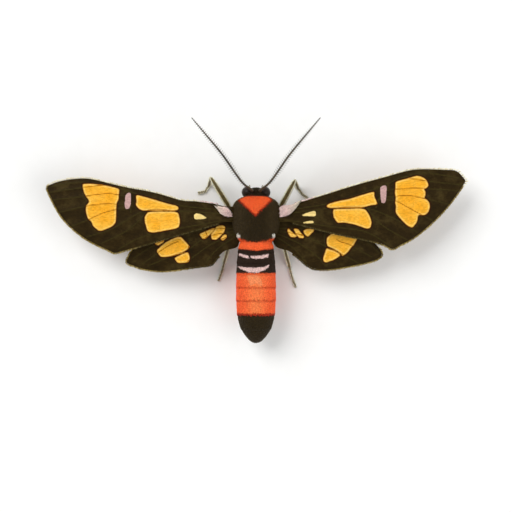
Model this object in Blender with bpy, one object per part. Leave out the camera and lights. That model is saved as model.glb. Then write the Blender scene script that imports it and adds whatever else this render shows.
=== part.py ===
"""A spotted clearwing moth, life size, standing on six legs with its wings spread.

Sizes here are in millimetres, and at() turns them into metres. A place is given as
out, from the middle of the body to one side; ahead, towards the head, from the line
of the shoulders; and up, from the floor. Ahead is -Y and the moth's left side is +X.
"""
import math

import bmesh
import bpy
from mathutils import Matrix, Vector
from mathutils.geometry import delaunay_2d_cdt

MM = 0.001
LEFT = 1
RIGHT = -1
SIDES = {"left": LEFT, "right": RIGHT}

GAP = 0.3
ABDOMEN_TIP_AHEAD = -15.40
ANTENNA_TIP_AHEAD = 10.20
MIDDLE_AHEAD = (ABDOMEN_TIP_AHEAD + ANTENNA_TIP_AHEAD) / 2

# Body sections: place ahead, half width, half height, height of the centre.
SQUARENESS = 2.2
THORAX = (
    (1.60, 1.55, 0.75, 5.40),
    (1.20, 2.02, 1.25, 5.10),
    (0.80, 2.45, 1.75, 4.80),
    (0.00, 2.70, 2.25, 4.55),
    (-1.00, 2.84, 2.50, 4.50),
    (-2.20, 2.70, 2.45, 4.45),
    (-3.00, 2.38, 2.20, 4.35),
    (-3.60, 2.05, 1.95, 4.28),
)
ABDOMEN = (
    (-3.90, 2.03, 1.90, 4.25),
    (-6.40, 2.31, 2.05, 3.95),
    (-9.00, 2.37, 2.05, 3.65),
    (-11.00, 2.36, 2.02, 3.40),
    (-12.30, 2.20, 1.88, 3.25),
    (-13.60, 1.62, 1.42, 3.10),
    (-14.80, 0.84, 0.80, 2.97),
    (ABDOMEN_TIP_AHEAD, 0.25, 0.25, 2.92),
)
SEGMENT_ENDS = (-4.90, -6.15, -7.40, -8.90, -10.40, -12.07, -13.70, ABDOMEN_TIP_AHEAD)
BASE_END = SEGMENT_ENDS[2]
MIDDLE_END = SEGMENT_ENDS[5]
SEGMENT_STEP = 0.07
SEGMENT_FLARE = 0.045
SEGMENT_RINGS = (0.0, 0.35, 0.75, 1.0)
THORAX_RINGS = (1.60, 1.40, 1.15, 0.85, 0.45, 0.0, -0.5, -1.0, -1.6, -2.2, -2.7, -3.2, -3.60)
BODY_SIDES = 24

# The face of the thorax that the head meets leans forward as it rises.
NECK_AHEAD = 1.25
NECK_UP = 5.0
NECK_LEAN = 0.3

# Red shield on the shoulders, seen from above, and the level its block is cut at.
SHIELD = ((1.62, 1.90), (2.02, 0.90), (0.0, -0.98), (-2.02, 0.90), (-1.62, 1.90))
SHIELD_FLOOR = 5.20
SHIELD_ROOF = 8.0

# Head sections across: distance out, half length, half height, centre ahead.
HEAD = ((0.0, 0.90, 1.25, 1.65), (0.40, 0.96, 1.24, 1.68), (0.75, 0.98, 1.16, 1.72))
HEAD_UP = 4.0
HEAD_RINGS = (0.0, 0.25, 0.5, 0.75)
HEAD_SIDES = 20

EYE_BASE_OUT = 1.05
EYE_OUT = 1.64
EYE_AHEAD = 1.93
EYE_UP = 4.05
EYE_HALF_LENGTH = 0.70
EYE_HALF_HEIGHT = 0.92
EYE_RINGS = (0, 18, 36, 54, 70, 82)
EYE_SIDES = 16

# Wings: one curved sheet for all four, with the hindwings a step below it.
WING_THICKNESS = 0.50
WING_ROOT_OUT = 3.0
WING_SPAN = 21.0
WING_ROOT_UP = 5.35
WING_RISE = 1.2
WING_DROOP = 2.8
WING_CAMBER = 0.022
WING_CREST_SLOPE = 0.07
HINDWING_DROP = 0.95
RIM_INSET = 0.14
VEIN_HEIGHT = 0.13
VEIN_HALF_WIDTH = 0.24
VEIN_STEP = 1.0
VEIN_CLEARANCE = 0.19
EDGE_CLEARANCE = 0.30
OUTLINE_STEP = 0.95
FILL_STEP = 1.7
FILL_CLEARANCE = 0.77
ROOT_STEPS = 3

# Each wing: where its root starts and ends ahead, the runs of its edge between
# corners, as places out and ahead, and its main veins.
FOREWINGS = {
    LEFT: {
        "root": (-0.05, -1.40),
        "runs": (
            ((4.85, 0.42), (7.90, 0.90), (11.50, 1.92), (15.10, 2.62), (18.80, 3.50),
             (21.00, 3.50), (22.90, 3.15), (23.98, 2.58)),
            ((23.55, 1.30), (22.20, -1.02), (20.38, -2.81), (18.59, -3.96), (16.14, -5.08)),
            ((14.17, -4.57), (9.30, -3.15), (4.60, -1.80)),
        ),
        "veins": (
            ((3.60, -0.30), (9.00, 0.45), (13.85, 1.80), (17.00, 2.75), (20.20, 3.05),
             (23.10, 2.50)),
            ((3.60, -0.70), (9.10, -0.20), (13.40, -0.12), (16.30, -1.80), (19.40, -3.00)),
            ((11.20, -0.16), (14.40, -2.30), (17.70, -3.95)),
            ((3.60, -1.10), (8.00, -2.10), (12.60, -3.45), (15.70, -4.60)),
            ((14.30, 1.95), (14.55, 0.95), (14.20, -0.42)),
            ((14.45, 1.75), (15.86, 1.73), (19.59, 1.58), (23.10, 1.25)),
            ((14.55, 0.75), (16.07, 0.59), (19.23, 0.54), (22.20, -0.20)),
            ((14.45, 0.20), (16.14, 0.00), (19.23, -1.08), (21.00, -1.75)),
        ),
    },
    RIGHT: {
        "root": (0.05, -1.40),
        "runs": (
            ((4.29, 0.60), (7.45, 1.58), (11.05, 2.71), (14.67, 3.72), (17.60, 4.51),
             (20.08, 4.63), (22.50, 4.36), (24.03, 3.22)),
            ((22.97, 1.56), (20.98, -0.79), (18.28, -3.16), (15.57, -4.63)),
            ((13.49, -3.80), (9.00, -2.85), (4.60, -1.75)),
        ),
        "veins": (
            ((3.60, -0.25), (8.00, 0.55), (13.60, 2.30), (16.70, 3.55), (19.50, 4.00),
             (22.90, 3.45)),
            ((3.60, -0.70), (8.80, 0.12), (12.90, 0.42), (16.10, -1.00), (18.60, -2.30)),
            ((11.20, 0.30), (14.40, -2.00), (17.00, -3.40)),
            ((3.60, -1.10), (8.00, -1.95), (12.40, -2.90), (15.10, -4.10)),
            ((14.10, 2.50), (14.20, 1.60), (13.60, 0.16)),
            ((14.20, 2.30), (16.24, 2.33), (19.50, 2.40), (23.10, 2.20)),
            ((14.20, 1.60), (16.00, 1.48), (19.20, 1.32), (22.00, 0.80)),
            ((14.10, 1.10), (16.00, 0.82), (18.60, -0.50), (20.20, -1.10)),
        ),
    },
}
HINDWINGS = {
    LEFT: {
        "root": (-1.90, -3.05),
        "runs": (
            ((6.00, -1.90), (10.00, -2.75), (13.20, -3.75), (14.60, -5.20), (14.94, -6.15)),
            ((13.31, -6.83), (10.60, -7.16), (6.99, -6.71), (5.10, -6.42)),
            ((4.06, -5.30), (3.16, -4.40)),
        ),
        "veins": (
            ((3.30, -2.20), (6.00, -2.40), (9.60, -3.25), (11.80, -4.20), (14.00, -5.60)),
            ((3.30, -2.50), (5.60, -3.20), (7.90, -4.70), (9.90, -5.45), (12.20, -6.40)),
            ((3.30, -2.80), (5.00, -3.95), (7.10, -5.40), (8.60, -6.40)),
            ((3.20, -3.20), (4.30, -4.45), (5.60, -5.80)),
            ((7.85, -2.80), (7.60, -3.60), (7.75, -4.55)),
        ),
    },
    RIGHT: {
        "root": (-1.90, -3.05),
        "runs": (
            ((6.00, -1.85), (10.00, -2.45), (12.90, -3.30), (14.33, -4.60), (14.50, -5.30)),
            ((13.30, -6.05), (9.25, -6.86), (6.90, -6.95), (5.64, -6.37)),
            ((4.74, -5.58), (3.33, -4.56)),
        ),
        "veins": (
            ((3.30, -2.20), (6.00, -2.25), (9.60, -2.60), (12.20, -3.40), (14.00, -4.90)),
            ((3.30, -2.50), (5.60, -3.05), (8.00, -4.30), (9.80, -5.15), (11.60, -6.10)),
            ((3.30, -2.80), (5.00, -3.95), (7.10, -5.50), (8.20, -6.45)),
            ((3.20, -3.20), (4.30, -4.50), (5.80, -5.95)),
            ((7.90, -2.45), (7.80, -3.30), (7.95, -4.25)),
            ((7.85, -3.00), (9.18, -3.42), (11.09, -4.17), (13.20, -5.50)),
        ),
    },
}

# The flap over each forewing's root.
TEGULA_THICKNESS = 0.45
TEGULA_DOME = 0.25
TEGULA_GAP = 0.40
TEGULA_FILL_STEP = 0.5
TEGULA_FILL_CLEARANCE = 0.3
TEGULAE = {
    LEFT: {
        "root": (-0.20, -1.10),
        "runs": (((3.40, 0.02), (4.30, 0.26), (4.96, 0.36)), ((4.45, -0.25), (3.50, -0.90))),
    },
    RIGHT: {
        "root": (0.10, -1.15),
        "runs": (((3.40, 0.38), (4.30, 0.62), (5.03, 0.88)), ((4.55, 0.05), (3.60, -0.80))),
    },
}

ANTENNA_BASE = (0.45, 2.00)
ANTENNA_COURSE = ((1.70, 3.10, 6.75), (3.70, 5.90, 7.60), (5.60, 8.20, 7.80),
                  (7.20, ANTENNA_TIP_AHEAD, 7.50))
ANTENNA_RADII = (0.27, 0.25, 0.25, 0.12)
ANTENNA_TEETH = 26
ANTENNA_SIDES = 8
ANTENNA_TOOTH = (0.05, 0.32, 0.30, 0.10)

PALP_BASE = (0.60, 1.60)
PALP_COURSE = ((0.66, 1.88, 2.12), (0.72, 2.32, 2.00), (0.74, 2.76, 2.22))
PALP_RADII = (0.24, 0.27, 0.12)
PALP_STEP = 0.22
PALP_SIDES = 8

COIL_BASE_AHEAD = 1.70
COIL_AHEAD = 2.00
COIL_UP = 1.78
COIL_RADIUS = 0.56
COIL_TURNS = 1.05
COIL_PITCH = 0.42
COIL_RADII = (0.18, 0.11)
COIL_START = math.radians(75)
COIL_STEPS = 22
COIL_SIDES = 6

# Legs: where the hip leaves the thorax, out and ahead, then the joints' places.
LEG_SIDES = 8
LEG_BEND = 0.45
BEND_STEP = math.radians(28)
FOOT_UP = 0.20
LEG_STRAIGHT = 0.9
LEG_RADII = (0.32, 0.30, 0.35, 0.32, 0.27, 0.30, 0.26, 0.25, 0.21)
LEGS = {
    "front": {
        "hip": (1.20, 0.05),
        LEFT: ((2.82, -0.15, 1.50), (5.18, 3.72, 3.35), (5.45, 2.95, FOOT_UP),
               (5.96, 2.20, FOOT_UP), (6.78, 2.05, FOOT_UP)),
        RIGHT: ((2.60, -0.11, 1.50), (4.47, 3.42, 3.35), (4.85, 2.60, FOOT_UP),
                (5.45, 1.85, FOOT_UP), (6.00, 1.45, FOOT_UP)),
    },
    "middle": {
        "hip": (1.25, -1.50),
        LEFT: ((2.25, -2.05, 1.30), (5.40, -1.90, 3.30), (6.80, -2.20, FOOT_UP),
               (7.90, -2.40, FOOT_UP), (8.90, -2.45, FOOT_UP)),
        RIGHT: ((2.25, -2.05, 1.30), (5.40, -1.80, 3.30), (6.80, -2.00, FOOT_UP),
                (7.90, -2.15, FOOT_UP), (8.90, -2.20, FOOT_UP)),
    },
    "hind": {
        "hip": (1.10, -2.70),
        LEFT: ((1.98, -3.30, 1.25), (3.05, -3.75, 3.10), (3.72, -6.10, FOOT_UP),
               (4.00, -7.20, FOOT_UP), (4.38, -8.26, FOOT_UP)),
        RIGHT: ((1.98, -3.30, 1.25), (3.15, -3.85, 3.10), (3.90, -6.60, FOOT_UP),
                (4.20, -7.80, FOOT_UP), (4.62, -9.02, FOOT_UP)),
    },
}

# Colour, roughness.
FINISHES = {
    "dark_scales": ((0.030, 0.023, 0.010), 0.80),
    "red_scales": ((0.855, 0.090, 0.022), 0.65),
    "orange_scales": ((0.900, 0.130, 0.030), 0.65),
    "pink_scales": ((0.640, 0.420, 0.400), 0.70),
    "wing_scales": ((0.036, 0.026, 0.010), 0.60),
    "leg_cuticle": ((0.105, 0.070, 0.020), 0.50),
    "eye": ((0.010, 0.008, 0.006), 0.20),
}


def at(side, out, ahead, up):
    """A place on the moth as a point in Blender's metres."""
    return Vector((side * out, MIDDLE_AHEAD - ahead, up)) * MM


def smooth(points, steps):
    """A smooth curve through points, with some steps between each two."""
    padded = [points[0], *points, points[-1]]
    curve = [Vector(points[0])]
    for a, b, c, d in zip(padded, padded[1:], padded[2:], padded[3:]):
        a, b, c, d = Vector(a), Vector(b), Vector(c), Vector(d)
        for k in range(1, steps + 1):
            t = k / steps
            curve.append(0.5 * (2 * b + (c - a) * t + (2 * a - 5 * b + 4 * c - d) * t ** 2
                                + (3 * b - a - 3 * c + d) * t ** 3))
    return curve


def spaced(curve, step):
    """The same curve with its points about one step apart."""
    lengths = [0.0]
    for a, b in zip(curve, curve[1:]):
        lengths.append(lengths[-1] + (b - a).length)
    count = max(1, round(lengths[-1] / step))
    points = []
    k = 0
    for i in range(count + 1):
        goal = lengths[-1] * i / count
        while k < len(curve) - 2 and lengths[k + 1] < goal:
            k += 1
        share = (goal - lengths[k]) / (lengths[k + 1] - lengths[k])
        points.append(curve[k].lerp(curve[k + 1], min(1.0, share)))
    return points


def rounded(corners, radius):
    """A path through corners, with each bend turned into an arc."""
    path = [corners[0]]
    for before, corner, after in zip(corners, corners[1:], corners[2:]):
        inward = (before - corner).normalized()
        onward = (after - corner).normalized()
        opening = inward.angle(onward) / 2
        centre = corner + (inward + onward).normalized() * radius / math.sin(opening)
        start = corner + inward * radius / math.tan(opening) - centre
        axis = start.cross(corner - centre).normalized()
        turn = math.pi - 2 * opening
        steps = max(1, round(turn / BEND_STEP))
        for k in range(steps + 1):
            path.append(centre + Matrix.Rotation(turn * k / steps, 3, axis) @ start)
    path.append(corners[-1])
    return path


def filled(path, step):
    """The same path with more points on its long straight runs."""
    points = [path[0]]
    for a, b in zip(path, path[1:]):
        count = max(1, round((b - a).length / step))
        points += [a.lerp(b, k / count) for k in range(1, count + 1)]
    return points


def between(stations, place):
    """The other values of a table at one place of its first, on a smooth curve."""
    falls = stations[0][0] > stations[-1][0]
    k = 0
    while k < len(stations) - 2 and (stations[k + 1][0] > place) == falls:
        k += 1
    first, last = stations[k], stations[k + 1]
    before = stations[max(k - 1, 0)]
    after = stations[min(k + 2, len(stations) - 1)]
    length = last[0] - first[0]
    t = min(1.0, max(0.0, (place - first[0]) / length))
    values = []
    for i in range(1, len(first)):
        leave = (last[i] - before[i]) / (last[0] - before[0]) * length
        arrive = (after[i] - first[i]) / (after[0] - first[0]) * length
        values.append((2 * t ** 3 - 3 * t ** 2 + 1) * first[i]
                      + (t ** 3 - 2 * t ** 2 + t) * leave
                      + (3 * t ** 2 - 2 * t ** 3) * last[i]
                      + (t ** 3 - t ** 2) * arrive)
    return values


def rounding(share):
    """How far a body section has narrowed at a share of its half height or width."""
    return max(0.0, 1 - min(1.0, abs(share)) ** SQUARENESS) ** (1 / SQUARENESS)


def thorax_out(ahead, up):
    half_width, half_height, centre_up = between(THORAX, ahead)
    return half_width * rounding((up - centre_up) / half_height)


def thorax_under(out, ahead):
    half_width, half_height, centre_up = between(THORAX, ahead)
    return centre_up - half_height * rounding(out / half_width)


def head_edge(out, ahead, direction):
    """Height of the head's top (direction 1) or underside (direction -1)."""
    half_length, half_height, centre = between(HEAD, out)
    return HEAD_UP + direction * half_height * math.sqrt(1 - ((ahead - centre) / half_length) ** 2)


def square_power(value):
    return math.copysign(abs(value) ** (2 / SQUARENESS), value)


def body_ring(stations, ahead, growth=1.0):
    half_width, half_height, centre_up = between(stations, ahead)
    half_width *= growth
    half_height *= growth
    ring = []
    for k in range(BODY_SIDES):
        angle = 2 * math.pi * k / BODY_SIDES
        ring.append(at(LEFT, half_width * square_power(math.cos(angle)), ahead,
                       centre_up + half_height * square_power(math.sin(angle))))
    return ring


def closed_tube(rings):
    """A closed mesh through rings of points, with a flat face at each end."""
    mesh = bmesh.new()
    loops = [[mesh.verts.new(point) for point in ring] for ring in rings]
    for first, second in zip(loops, loops[1:]):
        for k in range(len(first)):
            after = (k + 1) % len(first)
            mesh.faces.new((first[k], first[after], second[after], second[k]))
    mesh.faces.new(reversed(loops[0]))
    mesh.faces.new(loops[-1])
    bmesh.ops.recalc_face_normals(mesh, faces=mesh.faces)
    return mesh


def evenly(values):
    """A table of values at even shares of a length."""
    return [(k / (len(values) - 1), value) for k, value in enumerate(values)]


def sweep(path, radii, sides, face=None, tooth=(0.0, 0.0)):
    """A closed tube along a path. Its radius runs through radii from end to end, and
    every second ring reaches further out on both sides by the length of a tooth. With
    a face given, the tube's first end is flat along the plane with that normal."""
    stations = evenly(radii)
    teeth = evenly(tooth)
    total = sum((b - a).length for a, b in zip(path, path[1:]))
    travelled = 0.0
    rings = []
    across = None
    for k, point in enumerate(path):
        before = path[max(k - 1, 0)]
        after = path[min(k + 1, len(path) - 1)]
        tangent = (after - before).normalized()
        if k > 0:
            travelled += (point - before).length
        if across is None:
            across = tangent.cross(Vector((0, 0, 1)))
            if across.length < 0.1:
                across = tangent.cross(Vector((0, 1, 0)))
        across = (across - tangent * across.dot(tangent)).normalized()
        upward = across.cross(tangent)
        share = travelled / total
        radius = between(stations, share)[0] * MM
        reach = between(teeth, share)[0] * MM * (k % 2)
        ring = []
        for i in range(sides):
            angle = 2 * math.pi * i / sides
            outward = math.cos(angle)
            ring.append(point + across * (radius + reach * outward ** 4) * outward
                        + upward * radius * math.sin(angle))
        if face and k == 0:
            ring = [p - tangent * (p - point).dot(face) / tangent.dot(face) for p in ring]
        rings.append(ring)
    return closed_tube(rings)


def cut_away(mesh, point, normal):
    """Take off what lies beyond a plane and close the cut with a flat face."""
    geometry = [*mesh.verts, *mesh.edges, *mesh.faces]
    bmesh.ops.bisect_plane(mesh, geom=geometry, plane_co=point, plane_no=normal,
                           dist=1e-7, clear_outer=True)
    rim = [edge for edge in mesh.edges if edge.is_boundary]
    bmesh.ops.edgeloop_fill(mesh, edges=rim)
    bmesh.ops.recalc_face_normals(mesh, faces=mesh.faces)


def finish_material(slot):
    material = bpy.data.materials.get(slot)
    if material is None:
        colour, roughness = FINISHES[slot]
        material = bpy.data.materials.new(slot)
        material.use_nodes = True
        shader = material.node_tree.nodes["Principled BSDF"]
        shader.inputs["Base Color"].default_value = (*colour, 1.0)
        shader.inputs["Roughness"].default_value = roughness
        shader.inputs["Metallic"].default_value = 0.0
    return material


def add_part(name, mesh, pivot, slot, moth):
    """Make an object of a mesh, with its origin at a pivot and the moth as its parent."""
    data = bpy.data.meshes.new(name)
    mesh.to_mesh(data)
    mesh.free()
    data.transform(Matrix.Translation(-pivot))
    data.materials.append(finish_material(slot))
    data.shade_smooth()
    data.set_sharp_from_angle(angle=math.radians(40))
    part = bpy.data.objects.new(name, data)
    part.location = pivot
    part.parent = moth
    bpy.context.collection.objects.link(part)
    return part


def moved(outline, inset):
    """A flat outline with its edges moved inwards by an inset, or outwards below zero."""
    ahead = outline[1:] + outline[:1]
    turn = sum(a.cross(b) for a, b in zip(outline, ahead))
    normals = []
    for a, b in zip(outline, ahead):
        along = (b - a).normalized()
        normals.append(Vector((-along.y, along.x)) * inset * math.copysign(1, turn))
    points = []
    for before, point, after in zip(normals[-1:] + normals[:-1], outline, normals):
        spread = before.dot(after) + inset ** 2
        points.append(point + (before + after) * (inset ** 2 / spread if inset else 0.0))
    return points


def neck_plane(offset):
    """A point on the slanted plane between head and thorax, and its forward normal."""
    normal = Vector((0, -1, -NECK_LEAN)).normalized()
    return at(LEFT, 0, NECK_AHEAD, NECK_UP) + normal * offset * MM, normal


def shield_prism(name, margin, floor, moth):
    """The block above the shield's outline, grown by a margin. It cuts other parts."""
    outline = moved([Vector(place) for place in SHIELD], -margin)
    rings = [[at(LEFT, p.x, p.y, up) for p in outline] for up in (floor, SHIELD_ROOF)]
    prism = add_part(name, closed_tube(rings), rings[0][0], "red_scales", moth)
    prism.hide_render = True
    prism.display_type = "WIRE"
    return prism


def cut_with(part, cutter, operation):
    modifier = part.modifiers.new(operation.title(), "BOOLEAN")
    modifier.operation = operation
    modifier.object = cutter


def thorax_mesh():
    mesh = closed_tube([body_ring(THORAX, ahead) for ahead in THORAX_RINGS])
    cut_away(mesh, *neck_plane(0.0))
    return mesh


def add_thorax(moth):
    shoulder = at(LEFT, 0, 0, THORAX[3][3])
    thorax = add_part("thorax", thorax_mesh(), shoulder, "dark_scales", moth)
    cut_with(thorax, shield_prism("pocket", GAP, SHIELD_FLOOR - GAP, moth), "DIFFERENCE")
    collar = add_part("collar", thorax_mesh(), shoulder, "red_scales", moth)
    cut_with(collar, shield_prism("shield", 0.0, SHIELD_FLOOR, moth), "INTERSECT")


def segment_rings(front, rear):
    """Rings of the abdomen between two places. Each segment widens to its rear edge,
    and the next one starts a small step in from it."""
    rings = []
    ends = [end for end in SEGMENT_ENDS if rear + GAP < end < front - GAP] + [rear]
    start = front
    for end in ends:
        for share in SEGMENT_RINGS:
            ahead = start + (end - start) * share
            growth = 1.0 - SEGMENT_FLARE * (1 - share) ** 2
            rings.append(body_ring(ABDOMEN, ahead, growth))
        start = end - SEGMENT_STEP
    return rings


def add_abdomen(moth):
    pieces = (("abdomen_base", ABDOMEN[0][0], BASE_END + GAP / 2, "dark_scales"),
              ("abdomen_middle", BASE_END - GAP / 2, MIDDLE_END + GAP / 2, "orange_scales"),
              ("abdomen_tip", MIDDLE_END - GAP / 2, ABDOMEN_TIP_AHEAD, "dark_scales"))
    for name, front, rear, slot in pieces:
        rings = segment_rings(front, rear)
        pivot = at(LEFT, 0, front, between(ABDOMEN, front)[2])
        add_part(name, closed_tube(rings), pivot, slot, moth)


def add_head(moth):
    rings = []
    for out in [-out for out in HEAD_RINGS[:0:-1]] + list(HEAD_RINGS):
        half_length, half_height, centre = between(HEAD, abs(out))
        rings.append([at(LEFT, out, centre + half_length * math.cos(angle),
                         HEAD_UP + half_height * math.sin(angle))
                      for angle in (2 * math.pi * k / HEAD_SIDES for k in range(HEAD_SIDES))])
    mesh = closed_tube(rings)
    point, normal = neck_plane(GAP)
    cut_away(mesh, point, -normal)
    add_part("head", mesh, at(LEFT, 0, HEAD[0][3], HEAD_UP), "dark_scales", moth)


def add_eye(name, side, moth):
    rings = []
    for degrees in EYE_RINGS:
        rise = math.sin(math.radians(degrees))
        width = math.cos(math.radians(degrees))
        out = EYE_BASE_OUT + (EYE_OUT - EYE_BASE_OUT) * rise
        rings.append([at(side, out, EYE_AHEAD + EYE_HALF_LENGTH * width * math.cos(angle),
                         EYE_UP + EYE_HALF_HEIGHT * width * math.sin(angle))
                      for angle in (2 * math.pi * k / EYE_SIDES for k in range(EYE_SIDES))])
    add_part(name, closed_tube(rings), at(side, EYE_BASE_OUT, EYE_AHEAD, EYE_UP), "eye", moth)


def foothold(side, out, ahead, edge, direction):
    """A point a gap off a body's top or underside, and the way straight off it."""
    reach = 0.05
    slope_out = (edge(out + reach, ahead) - edge(out, ahead)) / reach
    slope_ahead = (edge(out, ahead + reach) - edge(out, ahead)) / reach
    away = Vector((-slope_out, -slope_ahead, 1.0)).normalized() * direction
    point = at(side, out + away.x * GAP, ahead + away.y * GAP, edge(out, ahead) + away.z * GAP)
    return point, Vector((side * away.x, -away.y, away.z))


def head_top(out, ahead):
    return head_edge(abs(out), ahead, 1)


def head_under(out, ahead):
    return head_edge(abs(out), ahead, -1)


def add_antenna(name, side, moth):
    foot, away = foothold(side, *ANTENNA_BASE, head_top, 1)
    curve = smooth([foot] + [at(side, *place) for place in ANTENNA_COURSE], 12)
    length = sum((b - a).length for a, b in zip(curve, curve[1:]))
    path = spaced(curve, length / (2 * ANTENNA_TEETH))
    mesh = sweep(path, ANTENNA_RADII, ANTENNA_SIDES, away, ANTENNA_TOOTH)
    add_part(name, mesh, foot, "dark_scales", moth)


def add_palp(name, side, moth):
    foot, away = foothold(side, *PALP_BASE, head_under, -1)
    curve = smooth([foot] + [at(side, *place) for place in PALP_COURSE], 6)
    mesh = sweep(spaced(curve, PALP_STEP * MM), PALP_RADII, PALP_SIDES, away)
    add_part(name, mesh, foot, "dark_scales", moth)


def add_proboscis(moth):
    foot, away = foothold(LEFT, 0.0, COIL_BASE_AHEAD, head_under, -1)
    path = [foot]
    for k in range(COIL_STEPS + 1):
        turned = COIL_TURNS * k / COIL_STEPS
        angle = COIL_START - 2 * math.pi * turned
        radius = COIL_RADIUS - COIL_PITCH * turned
        path.append(at(LEFT, 0, COIL_AHEAD + radius * math.cos(angle),
                       COIL_UP + radius * math.sin(angle)))
    add_part("proboscis", sweep(path, COIL_RADII, COIL_SIDES, away), foot, "leg_cuticle", moth)


def wing_sheet(out, ahead):
    """Height of the curved sheet that the forewings lie in."""
    share = (out - WING_ROOT_OUT) / WING_SPAN
    off_crest = ahead - WING_CREST_SLOPE * out
    return WING_ROOT_UP + WING_RISE * share - WING_DROOP * share ** 2 - WING_CAMBER * off_crest ** 2


def edge_line(shape, low):
    """A flat outline: the root follows the thorax a gap off it, then come the runs."""
    front, rear = shape["root"]
    root = []
    for k in range(ROOT_STEPS + 1):
        ahead = rear + (front - rear) * k / ROOT_STEPS
        root.append(Vector((thorax_out(ahead, low) + GAP, ahead)))
    outline = root[:-1]
    start = tuple(root[-1])
    for run in shape["runs"]:
        outline += spaced(smooth([start, *run], 8), OUTLINE_STEP)[:-1]
        start = run[-1]
    outline += spaced(smooth([start, tuple(root[0])], 2), OUTLINE_STEP)[:-1]
    return outline


def inside(point, outline):
    crossings = 0
    for a, b in zip(outline, outline[1:] + outline[:1]):
        if (a.y > point.y) != (b.y > point.y):
            if point.x < a.x + (b.x - a.x) * (point.y - a.y) / (b.y - a.y):
                crossings += 1
    return crossings % 2 == 1


def fill_points(outline, taken, step, clearance):
    """Points of an even grid inside an outline and clear of points already taken."""
    points = []
    low = Vector((min(p.x for p in outline), min(p.y for p in outline)))
    high = Vector((max(p.x for p in outline), max(p.y for p in outline)))
    for i in range(int((high.x - low.x) / step) + 1):
        for j in range(int((high.y - low.y) / step) + 1):
            point = low + Vector((i + 0.5 * (j % 2), j + 0.5)) * step
            if inside(point, outline) and all((point - p).length > clearance for p in taken):
                points.append(point)
    return points


def slab(side, outline, inner, top, bottom):
    """A thin closed body with the same triangles on both faces. Its rim is rounded: the
    faces stop short of the outline, which runs half way between them."""
    count = len(outline)
    rim = [(k, (k + 1) % count) for k in range(count)]
    face_edge = moved(outline, RIM_INSET)
    flat, _, faces, sources, *_ = delaunay_2d_cdt([*face_edge, *inner], rim, [], 1, 1e-5)
    mesh = bmesh.new()
    above = [mesh.verts.new(at(side, p.x, p.y, top(p.x, p.y))) for p in flat]
    below = [mesh.verts.new(at(side, p.x, p.y, bottom(p.x, p.y))) for p in flat]
    for a, b, c in faces:
        mesh.faces.new((above[a], above[b], above[c]))
        mesh.faces.new((below[c], below[b], below[a]))
    place = {source[0]: k for k, source in enumerate(sources) if source}
    belt = [mesh.verts.new(at(side, p.x, p.y, (top(p.x, p.y) + bottom(p.x, p.y)) / 2))
            for p in outline]
    for k, after in rim:
        for layer in (above, below):
            mesh.faces.new((layer[place[k]], layer[place[after]], belt[after], belt[k]))
    bmesh.ops.recalc_face_normals(mesh, faces=mesh.faces)
    return mesh


def vein_runs(shape):
    return [spaced(smooth(vein, 8), VEIN_STEP) for vein in shape["veins"]]


def nearness(point, runs):
    """Distance from a point to the nearest run of straight pieces."""
    nearest = math.inf
    for run in runs:
        for a, b in zip(run, run[1:]):
            share = (point - a).dot(b - a) / (b - a).length_squared
            nearest = min(nearest, (point - a.lerp(b, min(1.0, max(0.0, share)))).length)
    return nearest


def vein_points(runs, outline):
    """Points along the top of each vein and along its two feet, none too close."""
    points = []
    rows = [(run, shift) for shift in (0.0, VEIN_HALF_WIDTH, -VEIN_HALF_WIDTH) for run in runs]
    for run, shift in rows:
        for k, point in enumerate(run):
            along = (run[min(k + 1, len(run) - 1)] - run[max(k - 1, 0)]).normalized()
            foot = point + Vector((-along.y, along.x)) * shift
            crowded = any((foot - other).length < VEIN_CLEARANCE for other in points)
            on_vein = shift != 0 and nearness(foot, runs) < VEIN_CLEARANCE
            if not crowded and not on_vein and nearness(foot, [outline]) > EDGE_CLEARANCE:
                points.append(foot)
    return points


def add_wing(name, side, shape, drop, moth):
    half = WING_THICKNESS / 2
    root_front, root_rear = shape["root"]
    root_middle = (root_front + root_rear) / 2
    root_up = wing_sheet(WING_ROOT_OUT, root_middle) - drop
    outline = edge_line(shape, root_up)
    runs = vein_runs(shape)
    inner = vein_points(runs, outline + outline[:1])
    inner += fill_points(outline, outline + inner, FILL_STEP, FILL_CLEARANCE)

    def top(out, ahead):
        share = nearness(Vector((out, ahead)), runs) / VEIN_HALF_WIDTH
        return wing_sheet(out, ahead) - drop + half + VEIN_HEIGHT * max(0.0, 1 - share)

    mesh = slab(side, outline, inner, top,
                lambda out, ahead: wing_sheet(out, ahead) - drop - half)
    add_part(name, mesh, at(side, WING_ROOT_OUT, root_middle, root_up), "wing_scales", moth)


def add_tegula(name, side, moth):
    shape = TEGULAE[side]
    root_front, root_rear = shape["root"]
    root_middle = (root_front + root_rear) / 2
    lift = WING_THICKNESS / 2 + TEGULA_GAP
    base_up = wing_sheet(WING_ROOT_OUT, root_middle) + lift
    outline = edge_line(shape, base_up)
    centre = sum(outline, Vector((0, 0))) / len(outline)
    reach = max((point - centre).length for point in outline)

    def top(out, ahead):
        share = (Vector((out, ahead)) - centre).length / reach
        return wing_sheet(out, ahead) + lift + TEGULA_THICKNESS + TEGULA_DOME * (1 - share ** 2)

    inner = fill_points(outline, outline, TEGULA_FILL_STEP, TEGULA_FILL_CLEARANCE)
    mesh = slab(side, outline, inner, top, lambda out, ahead: wing_sheet(out, ahead) + lift)
    add_part(name, mesh, at(side, *outline[0], base_up), "pink_scales", moth)


def add_leg(name, side, leg, moth):
    foot, away = foothold(side, *leg["hip"], thorax_under, -1)
    corners = [foot] + [at(side, *place) for place in leg[side]]
    path = filled(rounded(corners, LEG_BEND * MM), LEG_STRAIGHT * MM)
    mesh = sweep(path, LEG_RADII, LEG_SIDES, away)
    cut_away(mesh, Vector((0, 0, 0)), Vector((0, 0, -1)))
    add_part(name, mesh, foot, "leg_cuticle", moth)


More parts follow.
